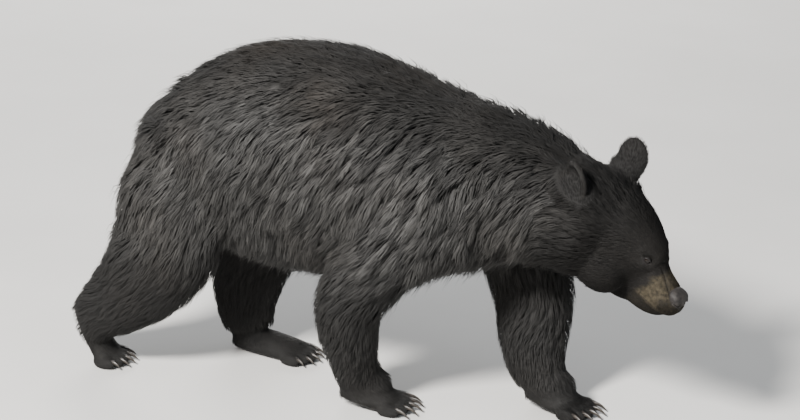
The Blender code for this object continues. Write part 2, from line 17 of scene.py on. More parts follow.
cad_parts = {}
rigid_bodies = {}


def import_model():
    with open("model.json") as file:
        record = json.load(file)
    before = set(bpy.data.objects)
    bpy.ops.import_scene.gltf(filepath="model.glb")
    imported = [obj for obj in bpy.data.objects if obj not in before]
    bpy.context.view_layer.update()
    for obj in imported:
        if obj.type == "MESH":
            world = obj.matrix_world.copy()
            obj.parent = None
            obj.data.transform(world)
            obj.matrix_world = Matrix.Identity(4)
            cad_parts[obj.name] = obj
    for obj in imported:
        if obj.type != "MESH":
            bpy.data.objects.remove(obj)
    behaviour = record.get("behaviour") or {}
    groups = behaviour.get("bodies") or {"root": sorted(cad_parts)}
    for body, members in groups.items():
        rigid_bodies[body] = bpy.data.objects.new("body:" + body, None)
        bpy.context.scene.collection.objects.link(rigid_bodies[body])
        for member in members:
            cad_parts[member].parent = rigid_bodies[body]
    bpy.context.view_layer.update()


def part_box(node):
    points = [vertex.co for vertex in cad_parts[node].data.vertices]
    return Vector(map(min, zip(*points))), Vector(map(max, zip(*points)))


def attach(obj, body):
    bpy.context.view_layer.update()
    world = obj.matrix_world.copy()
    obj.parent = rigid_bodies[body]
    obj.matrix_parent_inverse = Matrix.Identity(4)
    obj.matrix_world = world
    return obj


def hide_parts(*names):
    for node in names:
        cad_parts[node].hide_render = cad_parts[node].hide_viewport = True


for leftover in list(bpy.data.objects):
    bpy.data.objects.remove(leftover)
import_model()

# ---------------------------------------------------------------- the body plan, in metres

BACK_HEIGHT = 0.763
BELLY_HEIGHT = 0.262
BODY_HALF_WIDTH = 0.222
RUMP_X = -0.582
NECK_X = 0.440

SIDES = {"right": -1, "left": 1}  # the way each side lies along Y

NOSE_POINT = Vector((0.650, -0.084, 0.360))
HEAD_TURN = math.radians(18.5)
HEAD_DROOP = math.radians(28.0)
HEAD_ROLL = math.radians(4.0)

TrunkSection = namedtuple("TrunkSection", "x top bottom half_width sway")
TRUNK_SECTIONS = tuple(TrunkSection(*row) for row in (
    (RUMP_X, 0.490, 0.350, 0.080, 0.0),
    (-0.560, 0.537, 0.318, 0.122, 0.0),
    (-0.522, 0.592, 0.302, 0.162, 0.0),
    (-0.462, 0.652, 0.287, 0.188, 0.0),
    (-0.392, 0.706, 0.274, 0.205, 0.0),
    (-0.300, 0.749, BELLY_HEIGHT + 0.004, 0.216, 0.0),
    (-0.190, BACK_HEIGHT, BELLY_HEIGHT, BODY_HALF_WIDTH, 0.0),
    (-0.080, 0.750, BELLY_HEIGHT + 0.003, BODY_HALF_WIDTH, 0.0),
    (0.020, 0.727, 0.279, 0.212, 0.0),
    (0.120, 0.705, 0.310, 0.192, 0.0),
    (0.220, 0.680, 0.342, 0.168, -0.002),
    (0.300, 0.650, 0.356, 0.148, -0.008),
    (0.370, 0.614, 0.358, 0.134, -0.018),
    (NECK_X, 0.587, 0.354, 0.126, -0.032),
))

HeadSection = namedtuple("HeadSection", "back top bottom half_width")
HEAD_SECTIONS = tuple(HeadSection(*row) for row in (
    (0.010, 0.010, -0.038, 0.022),
    (0.022, 0.014, -0.056, 0.031),
    (0.042, 0.019, -0.074, 0.037),
    (0.066, 0.026, -0.089, 0.041),
    (0.088, 0.036, -0.097, 0.042),
    (0.105, 0.049, -0.101, 0.049),
    (0.125, 0.066, -0.104, 0.067),
    (0.150, 0.079, -0.110, 0.086),
    (0.180, 0.091, -0.119, 0.099),
    (0.215, 0.099, -0.126, 0.109),
    (0.255, 0.103, -0.131, 0.116),
    (0.295, 0.096, -0.130, 0.113),
    (0.335, 0.086, -0.124, 0.104),
))

EYE_BACK = 0.102
EYE_UP = 0.0325
EYE_SIDE = 0.0285
EYE_RADIUS = 0.0098
HOLLOW_SPOT = (-0.089, 0.036, 0.043)  # of the hollow round the left eye, in the head's axes
HOLLOW_REACH = 0.026
HOLLOW_DEPTH = 0.007
EYE_SINK = 0.0018         # of the ball behind its place in the solids, under the lids
LID_THICKNESS = 0.0011
LID_REACH = (0.80, 0.46)  # half width and half height of the opening, seen from the ball

EAR_HEIGHT = 0.084
EAR_WIDTH = 0.073
EAR_ROOT_BACK = 0.278
EAR_ROOT_UP = 0.069
EAR_ROOT_SIDE = 0.084
EAR_FACING = {-1: math.radians(110), 1: math.radians(103)}
EAR_LEAN = math.radians(12)
EAR_THICKNESS = 0.030

# middle and half sizes of the rounded masses, those in pairs for the left
BROW = ((-0.124, 0.027, 0.042), (0.022, 0.015, 0.012))  # in the head's axes
CHEEK = ((-0.180, 0.066, -0.034), (0.072, 0.040, 0.062))
LIP_PAD = ((-0.034, 0.018, -0.026), (0.026, 0.020, 0.024))
JAW = ((-0.1355, 0, -0.0735), (0.062, 0.044, 0.034))
JAW_SLOPE = -0.313
EAR_ROOT = ((-0.002, 0.015, 0.010), (0.018, 0.041, 0.035))  # in the ear's axes
FOREPAW = ((-0.040, 0, 0.056), (0.056, 0.047, 0.046))  # in the foot's axes
TOE_SIZES = (0.029, 0.0135, 0.0175)
SHOULDERS = {side: ((x, 0.125, 0.490), (0.126, 0.078, 0.152))
             for side, x in ((-1, 0.105), (1, 0.150))}
SHOULDER_SLOPE = -0.25
HAUNCHES = {side: ((x, 0.110, 0.440), (0.140, 0.100, 0.165))
            for side, x in ((-1, -0.452), (1, -0.440))}

LimbStation = namedtuple("LimbStation", "centre half_depth half_width")


def limb_line(*rows):
    """Stations from rows of x, y, z, half depth and half width."""
    return tuple(LimbStation(Vector(row[:3]), *row[3:]) for row in rows)


RIGHT_FORELEG = limb_line(
    (0.110, -0.125, 0.550, 0.105, 0.070),
    (0.075, -0.146, 0.450, 0.116, 0.078),
    (0.004, -0.154, 0.358, 0.094, 0.074),
    (-0.050, -0.153, 0.272, 0.080, 0.062),
    (-0.062, -0.134, 0.185, 0.072, 0.054),
    (-0.060, -0.110, 0.120, 0.058, 0.047),
    (-0.052, -0.094, 0.070, 0.052, 0.045),
)
LEFT_FORELEG = limb_line(
    (0.145, 0.118, 0.540, 0.110, 0.070),
    (0.178, 0.136, 0.430, 0.124, 0.078),
    (0.222, 0.140, 0.335, 0.106, 0.072),
    (0.254, 0.130, 0.250, 0.094, 0.062),
    (0.264, 0.115, 0.180, 0.086, 0.056),
    (0.276, 0.100, 0.115, 0.074, 0.050),
    (0.296, 0.090, 0.066, 0.060, 0.046),
)
RIGHT_HIND_LEG = limb_line(
    (-0.460, -0.105, 0.540, 0.110, 0.082),
    (-0.464, -0.132, 0.430, 0.138, 0.092),
    (-0.484, -0.146, 0.330, 0.132, 0.084),
    (-0.528, -0.146, 0.240, 0.110, 0.070),
    (-0.588, -0.138, 0.172, 0.088, 0.058),
    (-0.642, -0.130, 0.122, 0.068, 0.048),
    (-0.662, -0.124, 0.084, 0.052, 0.044),
)
LEFT_HIND_LEG = limb_line(
    (-0.455, 0.105, 0.540, 0.120, 0.082),
    (-0.415, 0.132, 0.430, 0.140, 0.092),
    (-0.392, 0.144, 0.335, 0.134, 0.084),
    (-0.400, 0.138, 0.255, 0.114, 0.070),
    (-0.408, 0.124, 0.182, 0.094, 0.058),
    (-0.406, 0.110, 0.115, 0.076, 0.050),
    (-0.394, 0.104, 0.066, 0.064, 0.046),
)
LEGS = {"foreleg_right": RIGHT_FORELEG, "foreleg_left": LEFT_FORELEG,
        "hindleg_right": RIGHT_HIND_LEG, "hindleg_left": LEFT_HIND_LEG}

Foot = namedtuple("Foot", "ball heading sole_length sole_slope spread claw_length")
FEET = {
    name: Foot(Vector((x, y, 0.0)), math.radians(heading), sole_length,
               math.radians(sole_slope), spread, claw_length)
    for name, x, y, heading, sole_length, sole_slope, spread, claw_length in (
        ("forepaw_right", 0.004, -0.080, 6, 0.078, 12, 0.108, 0.036),
        ("forepaw_left", 0.362, 0.078, -10, 0.078, 12, 0.108, 0.036),
        ("hindfoot_right", -0.650, -0.112, 4, 0.106, 66, 0.100, 0.026),
        ("hindfoot_left", -0.292, 0.098, -6, 0.120, 3, 0.100, 0.026),
    )
}
TOES = 5

TAIL_STATIONS = limb_line(
    (-0.545, 0.0, 0.515, 0.030, 0.030),
    (-0.586, 0.0, 0.480, 0.028, 0.031),
    (-0.607, 0.0, 0.430, 0.023, 0.028),
    (-0.616, 0.0, 0.382, 0.015, 0.019),
)

# ---------------------------------------------------------------- skin and coat settings

SKIN_GRAIN = 0.0026      # voxel of the fused skin
SKIN_TRIANGLES = 120000  # of the skin before the face is refined
JOIN_SMOOTHING = 90      # rounds of smoothing where the masses meet
LOCK_SHARE = 1.0
SEED = 7

# how a measure of the coat changes, as places and the values there
HEAD_DEPTH = ((0.0, 0.05, 0.09, 0.12, 0.16, 0.20, 0.25, 0.30, 0.36),  # by way from the nose
              (0.0010, 0.0014, 0.0020, 0.0032, 0.0062, 0.0105, 0.0165, 0.022, 0.027))
BODY_DEPTH = ((0.0, 0.015, 0.03, 0.07, 0.13, 0.22, 0.30, 0.42),  # by height over the floor
              (0.0010, 0.0018, 0.0032, 0.0060, 0.0090, 0.0120, 0.0170, 0.0270))
HEAD_DENSITY = ((0.0, 0.10, 0.14, 0.20, 0.28, 0.36), (520e3, 400e3, 230e3, 130e3, 85e3, 60e3))
BODY_DENSITY = ((0.0, 0.06, 0.12, 0.25, 0.36), (110e3, 85e3, 60e3, 50e3, 62e3))
LOCK_LENGTH = ((0.0, 0.002, 0.004, 0.009, 0.018, 0.027),  # by the coat's depth, as the rest are
               (0.0045, 0.0095, 0.0145, 0.027, 0.044, 0.056))
LOCK_WIDTH = ((0.0, 0.003, 0.009, 0.027), (0.0006, 0.0009, 0.0016, 0.0026))
CLUMP_SHARE = ((0.002, 0.01, 0.027), (0.30, 0.10, 0.040))
CLUMP_HALF_WIDTH = ((0.002, 0.010, 0.027), (0.0025, 0.004, 0.0075))

FLANK_FALL = ((0.25, 0.34, 0.50, 0.62, 0.70, 0.76),  # steepness of the lie, by height
              (1.4, 2.3, 2.3, 1.5, 0.7, 0.12))

EAR_COAT = 0.0024        # depth of the short coat on the ears
EAR_SPACE = (0.030, 0.046, 0.056)  # half sizes of the space round an ear
CLUMP_STRETCH = 0.80     # how far clumps are drawn out along the lie of the coat
WISP_SHARE = 0.07        # how many of the locks stand loose over the rest
LOCK_TUCK = 0.0006       # how deep a lock's foot sits in the skin
LOCK_RINGS = (0.0, 0.48)
PATCH = 0.003            # size of a lock's own place on the unwrap
LOWEST_HAIR = 0.001
LOWEST_SKIN = 0.0008

FOLD = (0.037, 0.0085)   # spacing and height of the folds behind the shoulder
WAVE = (0.048, 0.0055)   # of the broad ridges down the flank
RIPPLE = (0.023, 0.0026)  # and of the small ones between them

NOSE_MIDDLE = (-0.0125, 0, -0.0085)
NOSE_RADII = (0.0165, 0.0228, 0.0182)
BARE_NOSE_RADII = (0.0175, 0.0225, 0.0180)

MOUTH_POINT = Vector((-0.052, 0.0, -0.042))
MOUTH_RISE = 0.157       # of the mouth line, back along the head

FLESH_NODES = (
    "trunk", "neck", "head", "muzzle", "lower_jaw", "ear_right", "ear_left", "tail",
    "foreleg_right_upper", "foreleg_right_forearm", "forepaw_right",
    "foreleg_left_upper", "foreleg_left_forearm", "forepaw_left",
    "hindleg_right_thigh", "hindleg_right_shank", "hindfoot_right",
    "hindleg_left_thigh", "hindleg_left_shank", "hindfoot_left",
)


# ---------------------------------------------------------------- frames


def head_frame():
    """Head axes at the tip of the nose: X ahead along the mouth line, Z up."""
    turn = Matrix.Rotation(-HEAD_TURN, 4, "Z")
    droop = Matrix.Rotation(HEAD_DROOP, 4, "Y")
    roll = Matrix.Rotation(HEAD_ROLL, 4, "X")
    return Matrix.Translation(NOSE_POINT) @ turn @ droop @ roll


def ear_frame(side):
    """Ear axes at its root: X the way the bowl faces, Z up along the ear."""
    root = head_frame() @ Vector((-EAR_ROOT_BACK, side * EAR_ROOT_SIDE, EAR_ROOT_UP))
    facing = side * EAR_FACING[side] - HEAD_TURN
    lean = Matrix.Rotation(EAR_LEAN, 4, "Y")
    return Matrix.Translation(root) @ Matrix.Rotation(facing, 4, "Z") @ lean


def foot_frame(foot):
    """Foot axes at the ball of the foot: X toward the toes, Z up."""
    return Matrix.Translation(foot.ball) @ Matrix.Rotation(foot.heading, 4, "Z")


def stand_shift():
    """From the body plan's own origin to the middle of the floor under the bear."""
    low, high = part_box("eye_right")
    return (low + high) / 2 - head_frame() @ Vector((-EYE_BACK, -EYE_SIDE, EYE_UP))


STAND = stand_shift()


def in_frame(matrix, points):
    """The points in a frame's own axes, as an array."""
    inverse = np.array(matrix.inverted())
    return points @ inverse[:3, :3].T + inverse[:3, 3]


def in_head(points):
    """The points in the head's axes, and how far back each is from the nose."""
    head = in_frame(head_frame(), points)
    return head, -head[:, 0]


def smoothstep(low, high, value):
    t = np.clip((value - low) / (high - low), 0.0, 1.0)
    return t * t * (3 - 2 * t)


def bell(value, width):
    return np.exp(-(value / width) ** 2)


def blend(first, second, share):
    """From the first values to the second as the share goes from 0 to 1."""
    return first * (1 - share) + second * share


def ripple(points, wavelength, seed, waves=7):
    """A smooth wandering value from -1 to 1 over space."""
    random = np.random.default_rng(seed)
    total = np.zeros(len(points))
    for _ in range(waves):
        way = random.normal(size=3)
        way *= 2 * math.pi / (wavelength * np.linalg.norm(way) * random.uniform(0.7, 1.4))
        total += np.sin(points @ way + random.uniform(0, 2 * math.pi))
    return total / math.sqrt(waves * 0.5) / 1.8


# ---------------------------------------------------------------- lofts and rounded masses


def catmull_rom(before, start, end, after, t):
    return 0.5 * (
        2 * start
        + (end - before) * t
        + (2 * before - 5 * start + 4 * end - after) * t * t
        + (3 * start - before - 3 * end + after) * t ** 3
    )


def smooth_stations(stations, steps):
    """More stations, on a smooth curve through the given ones."""
    last = len(stations) - 1
    finer = []
    for index in range(last):
        around = [stations[min(max(index + k, 0), last)] for k in (-1, 0, 1, 2)]
        for step in range(steps):
            t = step / steps
            fields = zip(*around)
            finer.append(LimbStation(*(catmull_rom(*four, t) for four in fields)))
    finer.append(stations[-1])
    return finer


def domed(stations, start_dome, end_dome, rings):
    """The stations with a rounded end added before the first and after the last."""
    rounds = [math.sin(math.radians(78 * ring / rings)) for ring in range(1, rings + 1)]

    def dome(end, neighbour, length):
        away = (end.centre - neighbour.centre).normalized()
        caps = []
        for reach in rounds:
            shrink = math.sqrt(1 - reach * reach)
            centre = end.centre + away * length * reach
            caps.append(LimbStation(centre, end.half_depth * shrink, end.half_width * shrink))
        return caps

    first = dome(stations[0], stations[1], start_dome)
    last = dome(stations[-1], stations[-2], end_dome)
    return first[::-1] + stations + last


def add_loft(shape, stations, across, start_dome, end_dome, sides=40, steps=5, rings=5):
    """Adds a closed tube of rounded sections along the stations."""
    line = smooth_stations(list(stations), steps)
    line = domed(line, start_dome, end_dome, rings)
    circles = []
    for index, station in enumerate(line):
        behind = line[max(index - 1, 0)].centre
        ahead = line[min(index + 1, len(line) - 1)].centre
        along = (ahead - behind).normalized()
        side = (across - along * across.dot(along)).normalized()
        front = along.cross(side)
        circle = []
        for corner in range(sides):
            angle = 2 * math.pi * corner / sides
            offset = (side * station.half_width * math.cos(angle)
                      + front * station.half_depth * math.sin(angle))
            circle.append(shape.verts.new(station.centre + offset))
        circles.append(circle)
    for circle, following in zip(circles, circles[1:]):
        for corner in range(sides):
            after = (corner + 1) % sides
            shape.faces.new((circle[corner], circle[after], following[after],
                             following[corner]))
    shape.faces.new(circles[0])
    shape.faces.new(circles[-1])


def add_mass(shape, frame_of, mass, side=1, slope=0.0):
    """Adds a rounded mass, mirrored for the right, at a slope round its own Y axis."""
    (ahead, out, up), radii = mass
    add_ellipsoid(shape, frame_of, Vector((ahead, side * out, up)), radii,
                  Matrix.Rotation(slope, 4, "Y"))


def add_ellipsoid(shape, frame_of, centre, radii, turn=Matrix.Identity(4), segments=32):
    place = frame_of @ Matrix.Translation(centre) @ turn @ Matrix.Diagonal((*radii, 1.0))
    bmesh.ops.create_uvsphere(shape, u_segments=segments, v_segments=segments // 2,
                              radius=1.0, matrix=place)


def mesh_of(shape, name="shape"):
    bmesh.ops.recalc_face_normals(shape, faces=shape.faces)
    mesh = bpy.data.meshes.new(name)
    shape.to_mesh(mesh)
    shape.free()
    return mesh


def toe_places(foot):
    """The frame of each toe: they fan out in an arc, the middle one furthest ahead."""
    base = foot_frame(foot)
    places = []
    for toe in range(TOES):
        across = (toe - (TOES - 1) / 2) / ((TOES - 1) / 2)
        ahead = 0.036 - 0.016 * across * across
        centre = Vector((ahead, across * (foot.spread / 2 - 0.0125), 0.0140))
        fan = Matrix.Rotation(across * math.radians(12), 4, "Z")
        places.append(base @ Matrix.Translation(centre) @ fan)
    return places


def add_body(shape):
    """The trunk, limbs and muscles."""
    sideways = Vector((0, 1, 0))
    world = Matrix.Identity(4)
    trunk = [LimbStation(Vector((s.x, s.sway, (s.top + s.bottom) / 2)),
                         (s.top - s.bottom) / 2, s.half_width) for s in TRUNK_SECTIONS]
    add_loft(shape, trunk, sideways, 0.022, 0.08, sides=64)
    add_loft(shape, TAIL_STATIONS, sideways, 0.02, 0.02)
    for stations in LEGS.values():
        add_loft(shape, stations, sideways, 0.06, 0.02)
    for side in SIDES.values():
        add_mass(shape, world, SHOULDERS[side], side, SHOULDER_SLOPE)
        add_mass(shape, world, HAUNCHES[side], side)


def add_head(shape):
    """The skull, brows, cheeks and lip pads."""
    base = head_frame()
    skull = [LimbStation(base @ Vector((-s.back, 0, (s.top + s.bottom) / 2)),
                         (s.top - s.bottom) / 2, s.half_width) for s in HEAD_SECTIONS]
    add_loft(shape, skull, base.to_3x3() @ Vector((0, 1, 0)), 0.010, 0.05, sides=64)
    for side in SIDES.values():
        for mass in (BROW, CHEEK, LIP_PAD):
            add_mass(shape, base, mass, side)
        add_mass(shape, ear_frame(side), EAR_ROOT, side)
    add_mass(shape, base, JAW, slope=JAW_SLOPE)


def add_feet(shape):
    """Ball, sole and toes of every foot."""
    for name, foot in FEET.items():
        base = foot_frame(foot)
        half_spread = foot.spread / 2
        heel = Vector((-math.cos(foot.sole_slope), 0, math.sin(foot.sole_slope)))
        sole = (
            LimbStation(base @ Vector((0.012, 0, 0.020)), 0.025, half_spread * 0.86),
            LimbStation(base @ (heel * foot.sole_length * 0.5 + Vector((0, 0, 0.023))),
                        0.029, half_spread * 0.84),
            LimbStation(base @ (heel * foot.sole_length + Vector((0, 0, 0.026))),
                        0.032, half_spread * 0.72),
        )
        add_loft(shape, sole, base.to_3x3() @ Vector((0, 1, 0)), 0.02, 0.022)
        for place in toe_places(foot):
            add_ellipsoid(shape, place, Vector((0, 0, 0)), TOE_SIZES, segments=24)
        if name.startswith("forepaw"):
            add_mass(shape, base, FOREPAW)


def ear_mesh(side):
    """A rounded cup: an upright disc with a bowl hollowed in the face that looks out."""
    base = ear_frame(side)
    radii = Vector((EAR_THICKNESS / 2, EAR_WIDTH / 2, EAR_HEIGHT * 0.56))
    middle = Vector((0, 0, EAR_HEIGHT - radii.z))
    disc = bmesh.new()
    add_ellipsoid(disc, base, middle, radii, segments=48)
    bowl = bmesh.new()
    add_ellipsoid(bowl, base, middle + Vector((EAR_THICKNESS * 0.52, 0, 0.002)),
                  (radii.x * 1.25, radii.y * 0.78, radii.z * 0.80), segments=48)
    work = passing_object(mesh_of(disc))
    cutter = passing_object(mesh_of(bowl))
    add_modifier(work, "BOOLEAN", operation="DIFFERENCE", object=cutter)
    mesh = final_mesh(work)
    bpy.data.objects.remove(cutter)
    return mesh


def passing_object(mesh):
    obj = bpy.data.objects.new("passing", mesh)
    bpy.context.scene.collection.objects.link(obj)
    return obj


def add_modifier(obj, kind, **settings):
    modifier = obj.modifiers.new(kind.lower(), kind)
    for key, value in settings.items():
        setattr(modifier, key, value)


def add_weights(obj, share, least=0.0):
    """A vertex group with the share at each point, in eighths.  Returns its name."""
    group = obj.vertex_groups.new(name="share")
    level = np.round(share * 8).astype(int)
    for step in range(9):
        weight = max(step / 8, least)
        chosen = np.nonzero(level == step)[0].tolist()
        if chosen and weight:
            group.add(chosen, weight, "REPLACE")
    return group.name


def final_mesh(obj):
    """The mesh that the object's modifiers give.  The object is used up."""
    bpy.context.view_layer.update()
    graph = bpy.context.evaluated_depsgraph_get()
    mesh = bpy.data.meshes.new_from_object(obj.evaluated_get(graph))
    bpy.data.objects.remove(obj)
    return mesh


def vertex_array(mesh, field="co"):
    values = np.empty(len(mesh.vertices) * 3, np.float32)
    mesh.vertices.foreach_get(field, values)
    return values.reshape(-1, 3).astype(float)


def set_vertices(mesh, points):
    mesh.vertices.foreach_set("co", points.astype(np.float32).ravel())
    mesh.update()


# ---------------------------------------------------------------- zones of the body


def limb_reach(points, stations):
    """(share of a limb's half width from its line, direction of the line) at each point."""
    line = smooth_stations(list(stations), 4)
    centres = np.array([s.centre for s in line])
    widths = np.array([(s.half_depth + s.half_width) / 2 for s in line])
    ways = np.gradient(centres, axis=0)
    ways /= np.linalg.norm(ways, axis=1)[:, None]
    nearest = np.full(len(points), np.inf)
    way = np.zeros((len(points), 3))
    for centre, width, direction in zip(centres, widths, ways):
        reach = np.linalg.norm(points - centre, axis=1) / width
        closer = reach < nearest
        nearest[closer] = reach[closer]
        way[closer] = direction
    return nearest, way


def head_share(points):
    """1 round the head and the front of the neck, 0 on the forelegs below them."""
    head, _ = in_head(points)
    return (smoothstep(0.20, 0.165, np.abs(head[:, 1])) * smoothstep(-0.215, -0.170, head[:, 2])
            * (points[:, 0] > 0))


def coat_depth(points):
    """How far the coat stands off the skin."""
    head, back = in_head(points)
    on_head = np.interp(back, *HEAD_DEPTH)
    near_head = smoothstep(0.40, 0.30, back) * head_share(points)
    by_height = np.interp(points[:, 2], *BODY_DEPTH)
    depth = blend(by_height, np.minimum(on_head, by_height * 2), near_head)
    tail, _ = limb_reach(points, TAIL_STATIONS)
    depth = np.where(tail < 1.5, np.minimum(depth, 0.012), depth)
    for side in SIDES.values():
        on_ear = smoothstep(1.75, 0.95, ear_reach(points, side))
        depth = blend(depth, EAR_COAT, on_ear)
        eye = np.linalg.norm(head - gaze(side)[0], axis=1)
        depth = depth + (0.0014 - depth) * smoothstep(0.030, 0.014, eye)
    return depth * smoothstep(-0.002, 0.016, points[:, 2])


def in_ear(points, side):
    """The points in an ear's axes, from the middle of the ear."""
    return in_frame(ear_frame(side), points) - (0, 0, EAR_HEIGHT * 0.44)


def ear_reach(points, side):
    """How far a point lies out of the space round an ear; 1 is its edge."""
    return np.sqrt(np.sum((in_ear(points, side) / EAR_SPACE) ** 2, axis=1))


def ear_bowl(points):
    """1 inside the cup of an ear, and 1 along its rim."""
    inside, rim = np.zeros(len(points)), np.zeros(len(points))
    for side in SIDES.values():
        ear = in_ear(points, side)
        reach = np.hypot(ear[:, 1] / (EAR_WIDTH * 0.36), ear[:, 2] / (EAR_HEIGHT * 0.42))
        front = (ear_reach(points, side) < 1.05) * smoothstep(-0.006, 0.002, ear[:, 0])
        inside = np.maximum(inside, front * smoothstep(1.05, 0.80, reach))
        rim = np.maximum(rim, (ear_reach(points, side) < 1.05) * bell(reach - 1.24, 0.10)
                         * smoothstep(-0.008, 0.004, ear[:, 0]) * (ear[:, 2] > -0.03))
    return inside, rim


def tan_mark(points):
    """1 on the tan of the muzzle, 0 on the black coat."""
    head, back = in_head(points)
    edge = np.interp(head[:, 2], (-0.071, -0.044, -0.012, 0.010, 0.018),
                     (0.099, 0.089, 0.0695, 0.067, 0.0585)) + 0.003 * ripple(points, 0.02, 5)
    mark = smoothstep(edge + 0.008, edge - 0.010, back)
    mouth = mouth_height(head[:, 0])
    lower = smoothstep(mouth + 0.001, mouth - 0.005, head[:, 2])
    crease = muzzle_crease(head)
    bridge = smoothstep(0.002, -0.002, np.abs(head[:, 1]) - bridge_half_width(back)) \
        * (head[:, 2] > -0.010)
    front = smoothstep(0.037, 0.021, back) * smoothstep(-0.002, -0.018, head[:, 2])
    # painted shade: the tan is taken off below the mouth line, as the shade under the upper lip,
    # and in the crease beside the bridge
    mark = mark * (1 - 0.85 * lower) * (1 - 0.80 * crease) * (1 - 0.42 * bridge) \
        * (1 - 0.66 * front)
    return mark * head_share(points)


def muzzle_crease(head):
    """1 along the crease that parts the bridge of the muzzle from its side."""
    back = -head[:, 0]
    off_crease = np.abs(head[:, 1]) - bridge_half_width(back)
    return bell(off_crease, 0.0028) * (head[:, 2] > -0.012) * smoothstep(0.016, 0.030, back) \
        * smoothstep(0.080, 0.062, back)


def bridge_half_width(back):
    return np.interp(back, (0.0147, 0.0324, 0.046, 0.060), (0.0203, 0.0166, 0.0129, 0.0083))


def mouth_height(ahead):
    return MOUTH_POINT.z - MOUTH_RISE * (ahead - MOUTH_POINT.x)


def brown_mark(points):
    """Where the black coat turns brown: the face, ear rims, nape and a saddle on the back."""
    _, back = in_head(points)
    face = smoothstep(0.26, 0.12, back) * head_share(points)
    saddle = smoothstep(0.60, 0.74, points[:, 2]) * 0.50
    wander = 0.6 + 0.4 * ripple(points, 0.16, 11)
    return np.clip(0.20 * face + saddle * wander + 0.25 * wander ** 2 + 0.4 * ear_bowl(points)[1],
                   0.0, 1.0)


def sole_mark(points, normals):
    """1 on the bare pads under the feet."""
    bare = np.zeros(len(points))
    for foot in FEET.values():
        local = in_frame(foot_frame(foot), points)
        near = ((np.abs(local[:, 1]) < 0.065) & (local[:, 0] < 0.075)
                & (local[:, 0] > -foot.sole_length - 0.03) & (points[:, 2] < 0.14))
        heading = foot_frame(foot).to_3x3()
        slope = foot.sole_slope
        under = np.array(heading @ Vector((-math.sin(slope), 0, -math.cos(slope))))
        down = smoothstep(0.55, 0.80, normals @ under)
        flat = smoothstep(0.60, 0.85, -normals[:, 2]) * (points[:, 2] < 0.03)
        bare = np.maximum(bare, near * np.maximum(down, flat))
    return bare


def lie_of_coat(points, normals):
    """The way the hair lies at each point, along the skin."""
    height = points[:, 2]
    flank = np.interp(height, *FLANK_FALL)
    flank = flank * (0.35 + 0.65 * smoothstep(0.02, 0.14, np.abs(points[:, 1])))
    rump = smoothstep(-0.42, -0.57, points[:, 0])
    way = np.stack([-1.0 + 0.5 * rump, np.zeros(len(points)), -flank - 0.8 * rump], 1)
    way /= np.linalg.norm(way, axis=1)[:, None]
    way += 1.2 * shoulder_share(points)[:, None] * np.array((-0.49, 0.0, -0.87))
    for stations in LEGS.values():
        reach, along = limb_reach(points, stations)
        low = smoothstep(0.47, 0.30, height)
        pull = (smoothstep(1.75, 1.25, reach) * low)[:, None]
        way = blend(way, along + (-0.25, 0.0, 0.0), pull)
    for foot in FEET.values():
        local = in_frame(foot_frame(foot), points)
        ahead = foot_frame(foot).to_3x3() @ Vector((1, 0, -0.55))
        pull = (smoothstep(0.075, 0.045, height) * (np.abs(local[:, 1]) < 0.07)
                * smoothstep(-0.075, -0.02, local[:, 0]))[:, None]
        way = blend(way, np.array(ahead), pull)
    tail, along = limb_reach(points, TAIL_STATIONS)
    pull = smoothstep(1.6, 1.2, tail)[:, None]
    way = blend(way, along, pull)
    head, back = in_head(points)
    turn = np.array(head_frame().to_3x3())
    combed = np.stack([np.full(len(points), -1.0),
                       np.sign(head[:, 1]) * 0.18 * smoothstep(0.06, 0.14, back),
                       -0.42 * smoothstep(0.03, 0.09, np.abs(head[:, 1]))], 1)
    pull = (smoothstep(0.34, 0.24, back) * head_share(points))[:, None]
    way = blend(way, combed @ turn.T, pull)
    for side in SIDES.values():
        ear = in_ear(points, side)
        pull = smoothstep(1.20, 0.95, ear_reach(points, side))[:, None]
        fan = np.stack([np.zeros(len(points)), ear[:, 1] * 14, np.ones(len(points))], 1)
        turn = np.array(ear_frame(side).to_3x3())
        way = blend(way, fan @ turn.T, pull)
    way += 0.26 * np.stack([ripple(points, 0.12, seed) for seed in (21, 22, 23)], 1)
    way += 0.13 * np.stack([ripple(points, 0.035, seed) for seed in (24, 25, 26)], 1)
    way -= normals * np.sum(way * normals, axis=1)[:, None]
    return way / np.maximum(np.linalg.norm(way, axis=1), 1e-6)[:, None]


# ---------------------------------------------------------------- skin


def fused_skin():
    """One smooth closed surface round every mass of the body, at the coat's outline."""
    shape = bmesh.new()
    add_body(shape)
    add_head(shape)
    add_feet(shape)
    for side in SIDES.values():
        ear = ear_mesh(side)
        shape.from_mesh(ear)
        bpy.data.meshes.remove(ear)
    body = passing_object(mesh_of(shape))
    add_modifier(body, "REMESH", mode="VOXEL", voxel_size=SKIN_GRAIN)
    add_modifier(body, "SMOOTH", factor=0.5, iterations=9)
    mesh = final_mesh(body)
    press_eye_hollows(mesh)
    return ease_joins(mesh)


def press_eye_hollows(mesh):
    """Sinks the surface round each eye toward the middle of the head."""
    points = vertex_array(mesh)
    head, _ = in_head(points)
    turn = np.array(head_frame().to_3x3())
    for side in SIDES.values():
        off_middle = head - np.array(HOLLOW_SPOT) * (1, side, 1)
        reach = np.linalg.norm(off_middle, axis=1) / HOLLOW_REACH
        inward = turn @ np.array((-0.64, -side * 0.50, -0.58))
        share = np.clip(1.0 - reach * reach, 0.0, 1.0) ** 2
        points += inward / np.linalg.norm(inward) * (HOLLOW_DEPTH * share)[:, None]
    set_vertices(mesh, points)


